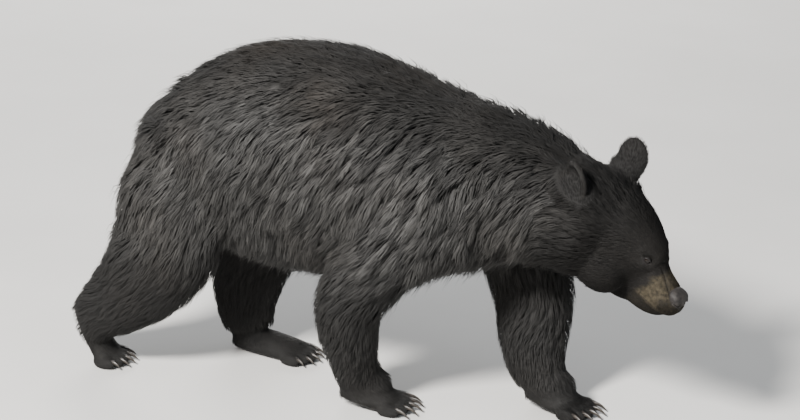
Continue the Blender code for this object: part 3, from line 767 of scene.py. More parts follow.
def ease_joins(mesh):
    """Softens the creases where the head leaves the neck and the feet leave the legs."""
    points = vertex_array(mesh)
    head, back = in_head(points)
    nape = smoothstep(0.15, 0.21, back) * smoothstep(0.40, 0.33, back) * head_share(points)
    cheeks = (0.6 * smoothstep(0.080, 0.110, back) * smoothstep(0.018, -0.004, head[:, 2])
              * (back < 0.30) * head_share(points))
    ease = np.maximum(nape, cheeks)
    ease = np.maximum(ease, smoothstep(0.022, 0.040, points[:, 2])
                      * smoothstep(0.160, 0.110, points[:, 2]))
    for side in SIDES.values():
        ease *= smoothstep(1.0, 1.5, ear_reach(points, side))
    obj = passing_object(mesh)
    add_modifier(obj, "SMOOTH", factor=0.9, iterations=JOIN_SMOOTHING,
                 vertex_group=add_weights(obj, ease))
    return final_mesh(obj)


def shoulder_share(points):
    """1 over the loose skin behind the shoulder."""
    return bell(points[:, 0] - 0.03, 0.13) * bell(points[:, 2] - 0.60, 0.12)


def coat_folds(points):
    """Loose folds behind the shoulder, and wavy ridges of hair down the flank and thigh.

    Returns how far they stand out, and the same from -1 in the valleys to 1 on the crests.
    """
    x, height = points[:, 0], points[:, 2]
    wander = 0.012 * ripple(points, 0.15, 31) + 0.004 * ripple(points, 0.05, 32)
    across = 0.87 * x - 0.49 * height + wander
    shoulder = shoulder_share(points)
    folds = ridges(across, FOLD[0])
    broken = 0.35 + 0.65 * smoothstep(-0.2, 0.6, ripple(points, 0.10, 33))
    flank = smoothstep(0.28, 0.36, height) * smoothstep(0.74, 0.62, height)
    waves = ridges(0.93 * x - 0.36 * height + 1.4 * wander, WAVE[0])
    body = smoothstep(0.42, 0.25, x) * flank * (1 - 0.75 * shoulder)
    small = ridges(0.90 * x - 0.43 * height + 1.8 * wander, RIPPLE[0])
    stand = (FOLD[1] * (folds - 0.7) * shoulder + WAVE[1] * (waves * broken - 0.5) * body
             + RIPPLE[1] * (small - 0.5) * body)
    return stand, np.clip(folds * shoulder + 0.5 * (waves * broken + small) * body, -1.0, 1.0)


def ridges(across, spacing):
    """Rounded crests and narrow valleys, from -1 to 1."""
    return 1.0 - 2.0 * np.abs(np.cos(np.pi * across / spacing)) ** 1.6


def thin_plain_skin(mesh):
    """Fewer triangles on the trunk and limbs, all of them kept on the face, ears and feet."""
    points = vertex_array(mesh)
    _, back = in_head(points)
    keep = smoothstep(0.24, 0.13, back)
    keep = np.maximum(keep, 0.85 * smoothstep(0.085, 0.050, points[:, 2]))
    for side in SIDES.values():
        reach = np.linalg.norm(in_frame(ear_frame(side), points) - (0, 0, 0.04), axis=1)
        keep = np.maximum(keep, 0.9 * smoothstep(0.085, 0.060, reach))
    obj = passing_object(mesh)
    add_modifier(obj, "DECIMATE", ratio=SKIN_TRIANGLES / (2 * len(mesh.polygons)),
                 vertex_group=add_weights(obj, 1 - keep, least=0.004))
    return final_mesh(obj)


def refine_face(mesh):
    """Finer triangles on the front of the face, and finer again round the eyes."""
    shape = bmesh.new()
    shape.from_mesh(mesh)
    bmesh.ops.triangulate(shape, faces=shape.faces)
    into_head = head_frame().inverted()
    eyes = [head_frame() @ Vector((-EYE_BACK, side * EYE_SIDE, EYE_UP)) for side in SIDES.values()]

    def split(inside):
        edges = [e for e in shape.edges if inside((e.verts[0].co + e.verts[1].co) / 2)]
        bmesh.ops.subdivide_edges(shape, edges=edges, cuts=1, use_grid_fill=True)
        bmesh.ops.triangulate(shape, faces=[f for f in shape.faces if len(f.verts) > 3])

    split(lambda p: (into_head @ p).x > -0.135 and (into_head @ p).z > -0.15)
    split(lambda p: min((p - eye).length for eye in eyes) < 0.022)
    mesh.clear_geometry()
    shape.to_mesh(mesh)
    shape.free()


def shape_face(mesh):
    """Sockets, folds round the eyes, the mouth line and the lips."""
    points = vertex_array(mesh)
    normals = vertex_array(mesh, "normal")
    head, back = in_head(points)
    sunk = np.zeros(len(points))
    side = np.abs(head[:, 1])
    # the mouth line, and a lower lip that tucks under the upper one
    above = head[:, 2] - mouth_height(head[:, 0])
    along = smoothstep(0.006, 0.016, back) * smoothstep(0.100, 0.080, back)
    sunk += 0.0032 * along * bell(above, 0.0016)
    sunk += 0.0020 * along * smoothstep(0.0, -0.004, above) * smoothstep(-0.030, -0.012, above)
    sunk -= 0.0010 * along * bell(above - 0.0055, 0.0035)
    # the crease that parts the bridge of the muzzle from its side
    sunk += 0.0016 * muzzle_crease(head)
    ridge = smoothstep(0.02, 0.04, back) * smoothstep(0.11, 0.08, back)
    sunk -= 0.0010 * bell(side, 0.012) * ridge
    # folds from the inner corner of the eye, and under it
    for offset, depth in ((0.0, 0.0012), (0.0065, 0.0008)):
        dip = head[:, 2] - (EYE_UP - 0.013 - offset) + 0.35 * (EYE_BACK - back)
        sunk += depth * bell(dip, 0.0022) * bell(back - EYE_BACK + 0.004, 0.018)
    sunk -= 0.0022 * bell(head[:, 2] - EYE_UP - 0.014, 0.006) * bell(back - EYE_BACK, 0.016) \
        * smoothstep(0.012, 0.024, side)
    points = points - normals * (sunk * head_share(points))[:, None]
    for hand in SIDES.values():
        points = eye_socket(points, hand)
    set_vertices(mesh, points)


def gaze(hand):
    """The eye's centre and the way it looks, in the head's axes."""
    look = np.array((0.62, hand * 0.77, 0.14))
    look /= np.linalg.norm(look)
    return np.array((-EYE_BACK, hand * EYE_SIDE, EYE_UP)) - EYE_SINK * look, look


def eye_socket(points, hand):
    """Skin near an eye drawn over the ball, and behind it inside the opening of the lids."""
    head, _ = in_head(points)
    away, distance, opening, ahead = about_eye(head, hand)
    near = (distance < 0.024) & (ahead > -0.002)
    over = EYE_RADIUS + LID_THICKNESS
    reach = distance * (0.55 + 0.45 * opening)
    cover = over + (distance - over) * smoothstep(0.0105, 0.0165, reach)
    fold = 0.0009 * bell(opening - 1.75, 0.16)
    target = np.where(opening < 1.0, EYE_RADIUS - 0.0022, cover - fold)
    moved = gaze(hand)[0] + away * target[:, None]
    head[near] = moved[near]
    base = np.array(head_frame())
    return head @ base[:3, :3].T + base[:3, 3]


def about_eye(head, hand):
    """The way to each point from an eye's middle, how far it is, and how far ahead.

    The third value is the opening of the lids that way, as lid_opening gives it.
    """
    centre, look = gaze(hand)
    offset = head - centre
    distance = np.maximum(np.linalg.norm(offset, axis=1), 1e-6)
    away = offset / distance[:, None]
    return away, distance, lid_opening(away, hand), offset @ look


def lid_axes(hand):
    """The way an eye looks, and the long and the upright axis of the opening of its lids."""
    _, look = gaze(hand)
    ahead = np.array((1.0, 0.0, -0.25))
    ahead -= look * (ahead @ look)
    ahead /= np.linalg.norm(ahead)
    return look, ahead, np.cross(look, ahead) * (-hand)


def lid_opening(away, hand):
    """How far a way from the eye lies out of the almond between the lids; 1 is its edge."""
    look, ahead, up = lid_axes(hand)
    angle_ahead = np.arctan2(away @ ahead, away @ look)
    angle_up = np.arctan2(away @ up, away @ look)
    return np.sqrt((angle_ahead / LID_REACH[0]) ** 2 + (angle_up / LID_REACH[1]) ** 2)


def make_skin():
    """The skin under the coat: the fused masses sunk by its depth, and the face shaped."""
    mesh = fused_skin()
    points = vertex_array(mesh)
    normals = vertex_array(mesh, "normal")
    points = (points - normals * coat_depth(points)[:, None]
              + normals * coat_folds(points)[0][:, None])
    points[:, 2] = np.maximum(points[:, 2], LOWEST_SKIN)
    set_vertices(mesh, points)
    mesh = thin_plain_skin(mesh)
    refine_face(mesh)
    shape_face(mesh)
    return mesh


# ---------------------------------------------------------------- coat


def skin_arrays(mesh):
    mesh.calc_loop_triangles()
    corners = np.empty(len(mesh.loop_triangles) * 3, np.int32)
    mesh.loop_triangles.foreach_get("vertices", corners)
    return vertex_array(mesh), vertex_array(mesh, "normal"), corners.reshape(-1, 3)


def coat_density(points):
    """Locks to each square metre."""
    _, back = in_head(points)
    dense = np.interp(back, *HEAD_DENSITY)
    near_head = smoothstep(0.40, 0.34, back) * head_share(points)
    by_height = np.interp(points[:, 2], *BODY_DENSITY)
    return blend(by_height, np.maximum(dense, by_height), near_head)


def scatter_roots(points, normals, corners, seed):
    """Roots spread evenly over the skin at the coat's density."""
    random = np.random.default_rng(seed)
    triangle = points[corners]
    middle = triangle.mean(axis=1)
    area = np.linalg.norm(np.cross(triangle[:, 1] - triangle[:, 0],
                                   triangle[:, 2] - triangle[:, 0]), axis=1) / 2
    wanted = np.cumsum(area * coat_density(middle) * LOCK_SHARE)
    count = int(wanted[-1])
    picks = np.searchsorted(wanted, (np.arange(count) + random.random(count)))
    picks = np.minimum(picks, len(corners) - 1)
    u, v = random.random(count), random.random(count)
    flip = u + v > 1
    u[flip], v[flip] = 1 - u[flip], 1 - v[flip]
    weights = np.stack([1 - u - v, u, v], 1)[:, :, None]
    spots = (triangle[picks] * weights).sum(axis=1)
    facing = (normals[corners][picks] * weights).sum(axis=1)
    facing /= np.linalg.norm(facing, axis=1)[:, None]
    return spots, facing


def bare_skin(points, normals):
    """Places with no hair: nose, lips, lids and the soles."""
    head, back = in_head(points)
    above = head[:, 2] - mouth_height(head[:, 0])
    bare = np.sum(((head - NOSE_MIDDLE) / BARE_NOSE_RADII) ** 2, axis=1) < 1.0
    bare |= (np.abs(above) < 0.0016) & (back < 0.095)
    for hand in SIDES.values():
        _, distance, opening, ahead = about_eye(head, hand)
        bare |= (distance < 0.018) & (opening < 1.30) & (ahead > 0)
    bare |= sole_mark(points, normals) > 0.4
    bare |= points[:, 2] < 0.004
    return bare


def painted_shade_and_dull(points, normals):
    """1 where the coat is painted darker as shade and made rougher: along the back, under the belly
    and low on the legs.
    """
    under = smoothstep(0.10, -0.60, normals[:, 2]) * smoothstep(0.42, 0.30, points[:, 2])
    back = smoothstep(0.45, 0.95, normals[:, 2]) * smoothstep(0.50, 0.60, points[:, 2])
    legs = smoothstep(0.39, 0.25, points[:, 2])
    return np.clip(np.maximum(np.maximum(under, back), legs), 0.0, 1.0)


PIECE_NAMES = tuple(f"coat_{zone}" for zone in (
    *(f"{part}_{word}" for part in ("rump", "flank", "shoulder", "neck", "head") for word in SIDES),
    "face", "ear_right", "ear_left", "tail", *LEGS))


def coat_zones(points):
    """The name's place in PIECE_NAMES, and where each root falls on that zone's own unwrap."""
    zone = np.zeros(len(points), int)
    unwrap = np.zeros((len(points), 2))
    x, y, height = points.T

    def claim(name, inside, along, around):
        zone[inside] = PIECE_NAMES.index(f"coat_{name}")
        unwrap[inside] = np.stack([along, around], 1)[inside]

    middle_height = np.interp(x, [s.x for s in TRUNK_SECTIONS],
                              [(s.top + s.bottom) / 2 for s in TRUNK_SECTIONS])
    girth = np.arctan2(height - middle_height, np.abs(y) + 1e-6)
    for part, start in (("rump", -1.0), ("flank", -0.36), ("shoulder", -0.10), ("neck", 0.20)):
        claim(f"{part}_right", (x > start) & (y <= 0), x, girth)
        claim(f"{part}_left", (x > start) & (y > 0), x, girth)
    head, back = in_head(points)
    on_head = (back < 0.30) & (x > 0.30)
    around = np.arctan2(head[:, 1], head[:, 2] + 0.02)
    claim("head_right", on_head & (head[:, 1] <= 0), back, around)
    claim("head_left", on_head & (head[:, 1] > 0), back, around)
    claim("face", on_head & (back < 0.125), back, around)
    for word, side in SIDES.items():
        ear = in_ear(points, side)
        claim(f"ear_{word}", ear_reach(points, side) < 1.0,
              ear[:, 2] + 0.12 * (ear[:, 0] > 0.002), ear[:, 1])
    tail, _ = limb_reach(points, TAIL_STATIONS)
    claim("tail", (tail < 1.25) & (height < 0.53), height, np.arctan2(y, -x - 0.57))
    for name, stations in LEGS.items():
        reach, _ = limb_reach(points, stations)
        line = np.array([s.centre for s in stations])[::-1]
        around = np.arctan2(y - np.interp(height, line[:, 2], line[:, 1]),
                            x - np.interp(height, line[:, 2], line[:, 0]))
        own_side = (y > 0) == (stations[0].centre.y > 0)
        claim(name, (height < 0.335) & (reach < 1.6) & own_side, height, around)
    return zone, unwrap


def coat_length(points, depth):
    """How long the hair is: short on the face and feet, longest on belly, rump and nape."""
    longer = 1.0 + 0.25 * smoothstep(0.34, 0.27, points[:, 2])
    return np.interp(depth, *LOCK_LENGTH) * longer


def shag(points, normals):
    """1 where the hair hangs loose: under the belly and neck, behind the legs, on the nape."""
    under = smoothstep(-0.15, -0.75, normals[:, 2]) * (points[:, 2] > 0.20)
    behind = smoothstep(-0.35, -0.85, normals[:, 0]) * (points[:, 2] < 0.45)
    nape = bell(points[:, 0] - 0.27, 0.13) * smoothstep(0.55, 0.62, points[:, 2])
    return np.clip(under + 0.7 * behind + 0.8 * nape + 0.15, 0.0, 1.0)


Locks = namedtuple("Locks", "root tip facing width rise marks seeds shade")


def nearest_clumps(spots, ways, heads):
    """The clump each lock joins, and how near it is to the next one; 1 is the line between.

    Clumps are drawn out along the lie of the coat.
    """
    tree = KDTree(len(heads))
    for index, root in enumerate(heads):
        tree.insert(spots[root], index)
    tree.balance()
    found = np.array([[near[1] for near in tree.find_n(spot, 6)] for spot in spots])
    offset = spots[:, None] - spots[heads][found]
    along = np.sum(offset * ways[:, None], axis=2)
    reach = np.sqrt(np.maximum(np.sum(offset ** 2, axis=2) - CLUMP_STRETCH * along ** 2, 1e-12))
    order = np.argsort(reach, axis=1)
    rows = np.arange(len(spots))
    first, second = reach[rows, order[:, 0]], reach[rows, order[:, 1]]
    return found[rows, order[:, 0]], first / second


def painted_light_under_eyes(points):
    """1 where the hair under the eyes is painted paler, as a painted highlight."""
    head, _ = in_head(points)
    return sum(bell(np.linalg.norm(head - (-0.100, side * 0.040, 0.026), axis=1), 0.011)
               for side in SIDES.values())


def along_skin(ways, facing):
    """The ways turned flat to the skin, with a length of 1."""
    ways = ways - facing * np.sum(ways * facing, axis=1)[:, None]
    return ways / np.linalg.norm(ways, axis=1)[:, None]


def grow_locks(spots, facing):
    """The coat's locks from their roots: hairs gather into clumps and lean to a clump's tip."""
    random = np.random.default_rng(SEED + 1)
    count = len(spots)
    depth = np.maximum(coat_depth(spots), 0.0012)
    ways = lie_of_coat(spots, facing)
    length = coat_length(spots, depth)
    loose = shag(spots, facing)

    # the clumps: how near each lock is to a clump's edge, and the normals that round it off
    is_clump = random.random(count) < np.interp(depth, *CLUMP_SHARE)
    heads = np.nonzero(is_clump)[0]
    nearest, edge = nearest_clumps(spots, ways, heads)
    gathered = smoothstep(0.0015, 0.009, depth)
    edge = smoothstep(0.55, 0.97, edge) * gathered
    off_middle = spots - spots[heads][nearest]
    off_middle -= ways * np.sum(off_middle * ways, axis=1)[:, None]
    half_width = np.interp(depth, *CLUMP_HALF_WIDTH)
    lean_out = off_middle / np.maximum(half_width, np.linalg.norm(off_middle, axis=1))[:, None]
    even = smoothstep(-0.22, -0.42, spots[:, 0])
    shade = facing + (0.62 * gathered * (1 - 0.35 * even))[:, None] * lean_out
    swing = random.normal(0, 0.16, (len(heads), 3))
    clump_way = along_skin(ways[heads] + swing, facing[heads])
    clump_rise = 0.90 - 0.35 * loose[heads] * random.random(len(heads)) \
        + random.normal(0, 0.09, len(heads))
    clump_tip = (spots[heads] + clump_way * length[heads][:, None] * 0.92
                 + facing[heads] * (depth[heads] * clump_rise)[:, None])
    clump_tint = random.random(len(heads))

    # each lock's own tip, a few of them loose wisps, then its pull toward the clump's tip
    ways = along_skin(ways + random.normal(0, 0.10, (count, 3)), facing)
    length = length * random.uniform(0.72, 1.12, count)
    rise = depth * (0.90 - (0.16 + 0.34 * loose) * random.random(count)) * (1 - 0.38 * edge)
    wisp = (random.random(count) < WISP_SHARE) & (depth > 0.006)
    rise = np.where(wisp, depth * random.uniform(0.95, 1.22, count), rise)
    tip = spots + ways * length[:, None] * 0.92 + facing * rise[:, None]
    hang = loose * smoothstep(0.5, -0.5, facing[:, 2]) * smoothstep(0.004, 0.012, depth)
    tip[:, 2] -= hang * length * random.uniform(0.05, 0.50, count)
    pull = (0.15 + 0.35 * random.random(count)) * gathered
    reach = np.linalg.norm(clump_tip[nearest] - tip, axis=1)
    pull = pull * smoothstep(1.1, 0.6, reach / length) * (1 - 0.8 * wisp)
    tip = tip + (clump_tip[nearest] - tip) * pull[:, None]

    # painted shade: locks near a clump's edge are darker, as the shade between clumps
    tint = (0.65 * clump_tint[nearest] + 0.35 * random.random(count)) * (1 - 0.45 * edge)
    tint = place_tint(tint + 0.45 * even * (0.42 - tint), spots, facing)
    width = np.interp(depth, *LOCK_WIDTH)
    width = width * random.uniform(0.75, 1.25, count) * (1 - 0.5 * wisp) / math.sqrt(LOCK_SHARE)
    marks = np.stack([tan_mark(spots), brown_mark(spots), tint], 1)
    return Locks(spots, tip, facing, width, rise, marks, random.random(count), shade)


def place_tint(tint, spots, facing):
    """How pale the locks are: darker on face and ears; painted shade in the ear cups, along the
    back, under the belly, low on the legs and in the valleys of the folds; painted highlights on
    the crests of the folds and under the eyes; paler on the ear rims.
    """
    bowl, rim = ear_bowl(spots)
    on_face = smoothstep(0.30, 0.18, in_head(spots)[1]) * head_share(spots)
    on_ear = smoothstep(1.7, 1.1, np.minimum(ear_reach(spots, -1), ear_reach(spots, 1)))
    # painted shade: darker in the ear cups, along the back, under the belly and low on the legs
    tint = tint * (1 - 0.75 * np.maximum(on_face, on_ear)) * (1 - 0.9 * bowl) \
        * (1 - 0.8 * painted_shade_and_dull(spots, facing))
    # painted light and shade: the crests of the folds paler and their valleys darker; painted
    # highlight under the eyes
    return tint * (1 + 0.55 * coat_folds(spots)[1]) + 0.30 * rim + 0.35 * painted_light_under_eyes(spots)


def make_coat(skin):
    """The coat's locks on the skin, one piece to each zone."""
    spots, facing = scatter_roots(*skin_arrays(skin), SEED)
    kept = ~bare_skin(spots, facing)
    locks = grow_locks(spots[kept], facing[kept])
    zone, unwrap = coat_zones(locks.root)
    for index, name in enumerate(PIECE_NAMES):
        chosen = zone == index
        if chosen.any():
            mesh = lock_mesh(Locks(*(field[chosen] for field in locks)), unwrap[chosen])
            new_piece(name, mesh, "fur", coat_material(name))


def lock_mesh(locks, unwrap):
    """All the locks of one zone as one mesh of tapered, three-sided hairs."""
    points, faces, hair, shade = tapered_locks(locks)
    per_lock = len(points) // len(locks.root)
    points[:, 2] = np.maximum(points[:, 2], LOWEST_HAIR)
    mesh = bpy.data.meshes.new("locks")
    mesh.vertices.add(len(points))
    mesh.vertices.foreach_set("co", points.astype(np.float32).ravel())
    mesh.loops.add(len(faces) * 3)
    mesh.loops.foreach_set("vertex_index", faces.astype(np.int32).ravel())
    mesh.polygons.add(len(faces))
    mesh.polygons.foreach_set("loop_start", np.arange(0, len(faces) * 3, 3, dtype=np.int32))
    mesh.polygons.foreach_set("use_smooth", np.ones(len(faces), bool))
    mesh.update(calc_edges=True)
    add_attribute(mesh, "hair", hair)
    add_attribute(mesh, "mark", np.repeat(locks.marks, per_lock, axis=0))
    low = unwrap.min(axis=0)
    spread = np.maximum(unwrap.max(axis=0) - low, 1e-6)
    place = 0.02 + 0.96 * (np.repeat(unwrap, per_lock, axis=0) - low) / spread
    patch = place + (hair[:, :2] - 0.5) * PATCH
    layer = mesh.uv_layers.new(name="OFBake")
    layer.data.foreach_set("uv", patch[faces.ravel()].astype(np.float32).ravel())
    mesh.normals_split_custom_set_from_vertices(shade)
    return mesh


def add_attribute(mesh, name, values):
    attribute = mesh.attributes.new(name, "FLOAT_VECTOR", "POINT")
    attribute.data.foreach_set("vector", values.astype(np.float32).ravel())


def tapered_locks(locks):
    """The points, triangles, hair values and normals of the locks."""
    count = len(locks.root)
    line = locks.tip - locks.root
    side = np.cross(locks.facing, line)
    side /= np.maximum(np.linalg.norm(side, axis=1), 1e-9)[:, None]
    out = np.cross(line, side)
    out /= np.maximum(np.linalg.norm(out, axis=1), 1e-9)[:, None]
    arch = locks.rise * 0.42
    rows, values, shades = [], [], []
    for ring in LOCK_RINGS:
        taper = (1.0 + 0.25 * ring) * (1.0 - ring ** 2.2)
        centre = locks.root + line * ring + locks.facing * (arch * math.sin(math.pi * ring)
                                                            - LOCK_TUCK * (ring == 0))[:, None]
        half = locks.width * 0.5 * taper
        for across, height in ((-1.0, 0.0), (1.0, 0.0), (0.0, 0.9)):
            rows.append(centre + side * (half * across)[:, None]
                        + out * (half * height)[:, None])
            values.append((0.5 + 0.5 * across, ring))
            own = side * across + out * (0.35 + height)
            shades.append(locks.shade + 0.55 * own)
    rows.append(locks.tip)
    values.append((0.5, 1.0))
    shades.append(locks.shade + 0.45 * out)
    per_lock = len(rows)
    shade = np.stack(shades, 1).reshape(-1, 3)
    shade /= np.linalg.norm(shade, axis=1)[:, None]
    points = np.stack(rows, 1).reshape(-1, 3)
    triangles = [(0, 2, 1)]
    sides = ((0, 1), (1, 2), (2, 0))
    last = per_lock - 4
    for here in range(0, last, 3):
        above = here + 3
        for a, b in sides:
            triangles += [(here + a, here + b, above + b), (here + a, above + b, above + a)]
    triangles += [(last + a, last + b, per_lock - 1) for a, b in sides]
    triangles = (np.array(triangles)[None] + per_lock * np.arange(count)[:, None, None])
    hair = np.empty((count, per_lock, 3))
    hair[:, :, :2] = np.array(values)[None]
    hair[:, :, 2] = locks.seeds[:, None]
    return points, triangles.reshape(-1, 3), hair.reshape(-1, 3), shade


# ---------------------------------------------------------------- nose, eyes, lids, claws


def grid_mesh(rows, looped=False):
    """A closed skin over rings of points, capped at its ends or looped back to the start."""
    shape = bmesh.new()
    rings = [[shape.verts.new(point) for point in row] for row in rows]
    for ring, following in zip(rings, rings[1:] + (rings[:1] if looped else [])):
        for index in range(len(ring)):
            after = (index + 1) % len(ring)
            shape.faces.new((ring[index], ring[after], following[after], following[index]))
    if not looped:
        shape.faces.new(rings[0])
        shape.faces.new(rings[-1])
    return mesh_of(shape)


def ball_rows(steps, turns, spot):
    """Rings of points of a ball in the head's axes, from one pole to the other.

    The spot is a function of the way to a point and the angle of that way from the first pole.
    """
    rows = []
    for step in range(1, steps):
        polar = math.pi * step / steps
        row = []
        for turn in range(turns):
            angle = 2 * math.pi * turn / turns
            way = Vector((math.cos(polar), math.sin(polar) * math.cos(angle),
                          math.sin(polar) * math.sin(angle)))
            row.append(head_frame() @ spot(way, polar))
        rows.append(row)
    return rows


def nose_leather():
    """The leathery pad at the end of the muzzle, with comma-shaped nostrils."""
    middle = Vector(NOSE_MIDDLE)
    return grid_mesh(ball_rows(64, 96, lambda way, _: middle + nose_reach(way)))


def nose_reach(way):
    """From the middle of the nose pad to its surface."""
    radii = Vector(NOSE_RADII)
    boxy = 2.9
    size = (abs(way.x) ** boxy + abs(way.y) ** boxy + abs(way.z) ** boxy) ** (-1 / boxy)
    spot = Vector((way.x * radii.x, way.y * radii.y, way.z * radii.z)) * size
    low = max(-spot.z, 0.0) / radii.z
    spot.x -= 0.30 * max(spot.z, 0.0) + 0.0030 * low ** 2
    spot.y *= 1.0 - 0.34 * low ** 1.5
    side = abs(spot.y)
    front = max(0.0, min(1.0, (spot.x + 0.006) / 0.008))
    hole = math.hypot((side - 0.0098) / 0.0042, (spot.z + 0.0022) / 0.0052)
    slit = math.hypot((side - 0.0165) / 0.0070,
                      (spot.z + 0.0046 - 0.30 * (side - 0.0165)) / 0.0017)
    pit = math.exp(-hole ** 3.0) + 0.7 * math.exp(-slit ** 2.0)
    wing = math.exp(-((hole - 1.50) / 0.42) ** 2) * (spot.z > -0.012)
    groove = math.exp(-(spot.y / 0.0011) ** 2) * max(0.0, min(1.0, (0.001 - spot.z) / 0.006))
    ahead = front * (0.0100 * min(pit, 1.0) + 0.0016 * groove - 0.0012 * wing)
    inward = 0.5 * front * 0.0035 * math.exp(-slit ** 2.0)
    return Vector((spot.x - ahead, spot.y - math.copysign(inward, spot.y), spot.z))


def eyeball(hand):
    """The ball of the eye with the bulge of its cornea, and how far each point is off its gaze."""
    centre, look = gaze(hand)
    aim = Vector(look).to_track_quat("Z", "Y").to_matrix()
    angles = []

    def spot(way, polar):
        angles.append(polar)
        bulge = 1.0 + 0.045 * math.exp(-(polar / 0.52) ** 4)
        return Vector(centre) + aim @ way.yzx * EYE_RADIUS * bulge

    mesh = grid_mesh(ball_rows(40, 48, spot))
    values = np.zeros((len(mesh.vertices), 3))
    values[:, 0] = angles
    add_attribute(mesh, "gaze", values)
    return mesh


def eyelids(hand):
    """The bare rims of both lids, a soft roll round the almond opening."""
    centre, _ = gaze(hand)
    look, ahead, up = lid_axes(hand)
    wide, high = LID_REACH
    rows = []
    for step in range(72):
        turn = 2 * math.pi * step / 72
        way = (look + ahead * math.tan(wide * math.cos(turn))
               + up * math.tan(high * math.sin(turn)))
        way /= np.linalg.norm(way)
        outward = ahead * math.cos(turn) / wide + up * math.sin(turn) / high
        outward -= way * (outward @ way)
        outward /= np.linalg.norm(outward)
        thick = 0.0009 + 0.0004 * max(math.sin(turn), 0.0)
        ring = []
        for corner in range(12):
            angle = 2 * math.pi * corner / 12
            spot = (centre + way * (EYE_RADIUS + 0.0002 + thick * math.cos(angle))
                    + outward * (0.0007 + thick * 1.2 * math.sin(angle)))
            ring.append(head_frame() @ Vector(spot))
        rows.append(ring)
    return grid_mesh(rows, looped=True)


def claws(foot):
    """The five curved claws of one foot, each rooted under the skin of its toe."""
    shape = bmesh.new()
    arc = math.radians(62)
    start = math.radians(-8)
    radius = foot.claw_length / arc
    root = Vector((0.017, 0, 0.004))
    for place in toe_places(foot):
        stations = []
        for step in range(10):
            t = step / 9
            bend = start + arc * t
            centre = root + Vector((radius * (math.sin(bend) - math.sin(start)) + 0.003 * t, 0,
                                    radius * (math.cos(bend) - math.cos(start))))
            thickness = 0.0046 * (1 - t) ** 0.75 + 0.0006
            stations.append(LimbStation(place @ centre, thickness, thickness * 0.68))
        across = place.to_3x3() @ Vector((0, 1, 0))
        add_loft(shape, stations, across, 0.002, 0.0006, sides=14, steps=2, rings=2)
    return mesh_of(shape)


# ---------------------------------------------------------------- pieces


def new_piece(name, mesh, slot, material, replaced=()):
    """A piece in the bear's place on its floor, riding the body."""
    mesh.name = name
    mesh.transform(Matrix.Translation(STAND))
    mesh.materials.clear()
    mesh.materials.append(material)
    piece = bpy.data.objects.new(name, mesh)
    bpy.context.scene.collection.objects.link(piece)
    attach(piece, "root")
    if replaced:
        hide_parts(*replaced)


# ---------------------------------------------------------------- materials


class Nodes:
    """Short calls for laying out one node tree."""

    def __init__(self, tree):
        self.tree = tree

    def add(self, kind, **settings):
        node = self.tree.nodes.new(kind)
        for key, value in settings.items():
            setattr(node, key, value)
        return node

    def link(self, output, socket):
        self.tree.links.new(output, socket)

    def value(self, operation, first, second=0.0):
        node = self.add("ShaderNodeMath", operation=operation)
        for socket, source in zip(node.inputs, (first, second)):
            if isinstance(source, (int, float)):
                socket.default_value = source
            else:
                self.link(source, socket)
        return node.outputs[0]

    def mix(self, share, first, second):
        node = self.add("ShaderNodeMix", data_type="RGBA")
        for socket, source in ((node.inputs[0], share), (node.inputs[6], first),
                               (node.inputs[7], second)):
            if isinstance(source, tuple):
                socket.default_value = (*source, 1.0)
            elif isinstance(source, (int, float)):
                socket.default_value = source
            else:
                self.link(source, socket)
        return node.outputs[2]

    def place(self):
        return self.add("ShaderNodeTexCoord").outputs["Object"]

    def noise(self, vector, scale, detail=3.0, roughness=0.55):
        node = self.add("ShaderNodeTexNoise")
        node.inputs["Scale"].default_value = scale
        node.inputs["Detail"].default_value = detail
        node.inputs["Roughness"].default_value = roughness
        self.link(vector, node.inputs["Vector"])
        return node.outputs["Fac"]

    def ranged(self, source, low, high, to_low=0.0, to_high=1.0):
        node = self.add("ShaderNodeMapRange")
        node.inputs["From Min"].default_value = low
        node.inputs["From Max"].default_value = high
        node.inputs["To Min"].default_value = to_low
        node.inputs["To Max"].default_value = to_high
        self.link(source, node.inputs["Value"])
        return node.outputs["Result"]


def new_group(name, inputs, outputs):
    group = bpy.data.node_groups.new(name, "ShaderNodeTree")
    for label, kind in inputs:
        group.interface.new_socket(label, in_out="INPUT", socket_type=kind)
    for label, kind in outputs:
        group.interface.new_socket(label, in_out="OUTPUT", socket_type=kind)
    nodes = Nodes(group)
    return group, nodes, nodes.add("NodeGroupInput"), nodes.add("NodeGroupOutput")


